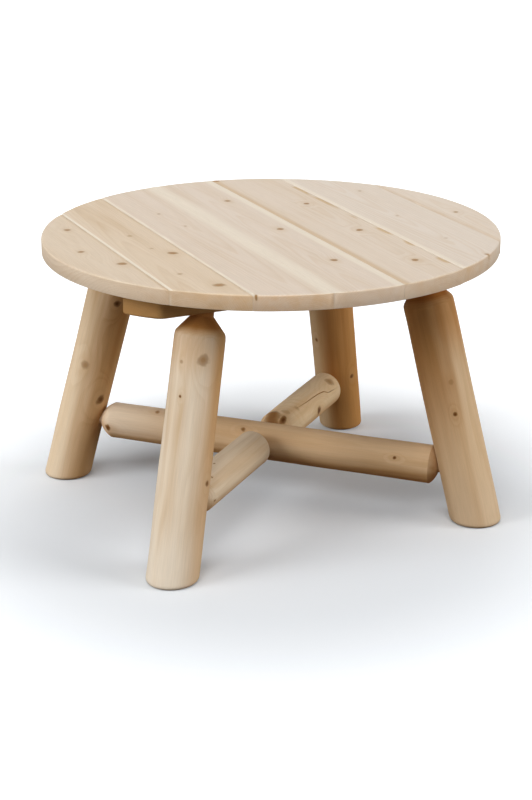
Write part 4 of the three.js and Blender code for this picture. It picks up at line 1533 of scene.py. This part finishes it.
def recess_blade(place, turn):
    """One blade of the cross. Each end has a height, half a length and half a width in millimetres."""
    points = []
    for height, half_length, half_width in (BLADE_OUTSIDE, BLADE_INSIDE):
        for x, y in ((-1, -1), (1, -1), (1, 1), (-1, 1)):
            flat = Vector((x * half_length * MM, y * half_width * MM, height * MM))
            points.append(place @ (Matrix.Rotation(turn, 3, "Z") @ flat))
    faces = [(3, 2, 1, 0), (4, 5, 6, 7), (0, 1, 5, 4), (1, 2, 6, 5), (2, 3, 7, 6), (3, 0, 4, 7)]
    return points, faces


def screw_hole(place):
    """A countersunk blind hole that clears the screw on all sides."""
    stations = [(-2 * MM, HEAD_RADIUS), (HEAD_RIM, HEAD_RADIUS), (HEAD_HEIGHT, SHANK_RADIUS),
                (screw_length + HOLE_ROOM, SHANK_RADIUS)]
    points, faces = turned([(height, radius + HOLE_ROOM) for height, radius in stations], HOLE_SIDES)
    return [place @ point for point in points], faces


print("recess and hole cutters are ready")

# %% [markdown]
# ## Drive the screws
# All sixteen screws share one mesh, as bought screws do, so its recess is cut only once, with the
# first one in place. Each is turned by another angle, because nobody stops a screw at the same one.

# %% Drive the screws
SCREW_TURN = 0.7
screw_numbers = range(1, 9)
recess_is_cut = False
for side, batten in batten_pieces.items():
    batten_holes = []
    board_holes = {}
    for number in screw_numbers:
        node = f"screw_{side}_{number}"
        low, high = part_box(node)
        centre = (low + high) / 2
        turn = Matrix.Rotation(SCREW_TURN * number, 4, "Z")
        place = Matrix.Translation((centre.x, centre.y, low.z)) @ turn
        screw = set_in_frame(f"steel_{node}", node, screw_mesh, place)
        if not recess_is_cut:
            cut_away(screw, [recess_blade(place, 0.0), recess_blade(place, math.pi / 2)])
            screw_mesh = screw.data
            screw_mesh.name = "steel_screw"
            recess_is_cut = True
        batten_holes.append(screw_hole(place))
        for board in top_pieces:
            board_low, board_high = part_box(board)
            if board_low.x < centre.x < board_high.x:
                board_holes.setdefault(board, []).append(screw_hole(place))
    cut_away(batten, batten_holes)
    for board, holes in board_holes.items():
        cut_away(top_pieces[board], holes)
    print(len(batten_holes), "screws and their holes in", batten.name)

# %% [markdown]
# ## Floor
# The floor is one wide disc of pale matt grey. A photographer's paper sweep would bend up at the
# back, but from other sides its edge would show. To the camera the disc also glows a little, away
# from the table, so the open floor is white while the table's soft shadow stays. To all other
# light it is a dark warm grey, which keeps the wood's undersides brown.

# %% Floor
FLOOR_SIDES = 72
FLOOR_RADII = (2.0, 7.0, 14.0)
FLOOR_GAP = 0.2 * MM
FLOOR_COLOUR = (0.815, 0.848, 0.882, 1)
FLOOR_BOUNCE_COLOUR = (0.08, 0.055, 0.035, 1)
GLOW_CENTRE = (0.05, 0.11, 0.0)
GLOW_BEGINS = 0.36
GLOW_FULL = 0.85
GLOW_STRENGTH = 0.45


def seen_directly(tree):
    """1 for what the camera sees, straight or in gloss and glass, and 0 for light on its way."""
    rays = place_node(tree, "ShaderNodeLightPath").outputs
    mirrored = calc(tree, "MAXIMUM", rays["Is Glossy Ray"], rays["Is Transmission Ray"])
    return calc(tree, "MAXIMUM", rays["Is Camera Ray"], mirrored)


floor_points = [Vector((0, 0, 0))]
for radius in FLOOR_RADII:
    floor_points += [at_angle(math.radians(360 / FLOOR_SIDES * i), radius) for i in range(FLOOR_SIDES)]
pairs = [(i, (i + 1) % FLOOR_SIDES) for i in range(FLOOR_SIDES)]
floor_faces = [(0, 1 + i, 1 + j) for i, j in pairs]
for inner in (1, 1 + FLOOR_SIDES):
    outer = inner + FLOOR_SIDES
    floor_faces += [(inner + i, outer + i, outer + j, inner + j) for i, j in pairs]
floor_mesh = bpy.data.meshes.new("studio_floor")
floor_mesh.from_pydata(floor_points, [], floor_faces)
floor = bpy.data.objects.new("studio_floor", floor_mesh)
floor.location.z = -FLOOR_GAP
bpy.context.scene.collection.objects.link(floor)

floor_material = empty_material("studio_floor")
tree = floor_material.node_tree
seen = seen_directly(tree)
matt = place_node(tree, "ShaderNodeBsdfDiffuse",
                  {"Color": blend_colour(tree, seen, FLOOR_BOUNCE_COLOUR, FLOOR_COLOUR)})
floor_point = place_node(tree, "ShaderNodeTexCoord").outputs["Object"]
from_middle = calc_vector(tree, "LENGTH", calc_vector(tree, "ADD", floor_point, GLOW_CENTRE))
away = ramp_between(tree, from_middle, GLOW_BEGINS, GLOW_FULL, 0.0, GLOW_STRENGTH)
glow = place_node(tree, "ShaderNodeEmission",
                  {"Color": (1, 1, 1, 1), "Strength": calc(tree, "MULTIPLY", seen, away)})
both = place_node(tree, "ShaderNodeAddShader", {0: matt.outputs[0], 1: glow.outputs[0]})
place_node(tree, "ShaderNodeOutputMaterial", {"Surface": both.outputs[0]})
floor_mesh.materials.append(floor_material)
print("floor is", round(2 * FLOOR_RADII[-1]), "m across")

# %% [markdown]
# ## World and lamps
# The world is white to the camera and only a faint fill to everything else. Area lamps would light
# the near side of the table more than the far one, as in a small studio. Wide suns light all of
# it alike and still cast soft shadows: one overhead, a key from the front left, a window on each
# side and a fill from behind. A sun is given by its bearing from the right, anticlockwise, and its
# height above the floor, both in degrees, its strength and the angle that it spreads over.

# %% World and lamps
WORLD_FILL = 0.03
lamps = {
    "overhead": (0, 90, 0.45, 45),
    "key_front_left": (238, 50, 1.42, 40),
    "window_left": (180, 28, 0.76, 30),
    "window_left_low": (180, 15, 1.38, 38),
    "window_right": (322, 28, 0.42, 30),
    "window_right_low": (322, 15, 1.50, 38),
    "fill_behind": (65, 20, 0.45, 60),
}


def soft_sun(name, bearing, height, strength, spread):
    lamp = bpy.data.lights.new(name, "SUN")
    lamp.energy = strength
    lamp.angle = math.radians(spread)
    up_angle = math.radians(height)
    towards_light = at_angle(math.radians(bearing), math.cos(up_angle), math.sin(up_angle))
    lamp_object = bpy.data.objects.new(name, lamp)
    lamp_object.rotation_mode = "QUATERNION"
    lamp_object.rotation_quaternion = towards_light.to_track_quat("Z", "Y")
    bpy.context.scene.collection.objects.link(lamp_object)


world = bpy.data.worlds.new("studio")
world.use_nodes = True
tree = world.node_tree
tree.nodes.clear()
strength = place_node(tree, "ShaderNodeMapRange", {
    "Value": seen_directly(tree), "To Min": WORLD_FILL, "To Max": 1.0}).outputs["Result"]
sky = place_node(tree, "ShaderNodeBackground", {"Color": (1, 1, 1, 1), "Strength": strength})
place_node(tree, "ShaderNodeOutputWorld", {"Surface": sky.outputs[0]})
bpy.context.scene.world = world

for name, values in lamps.items():
    soft_sun(name, *values)
bpy.context.scene.view_settings.view_transform = "Standard"
print("lamps:", [lamp.name for lamp in bpy.data.lights])
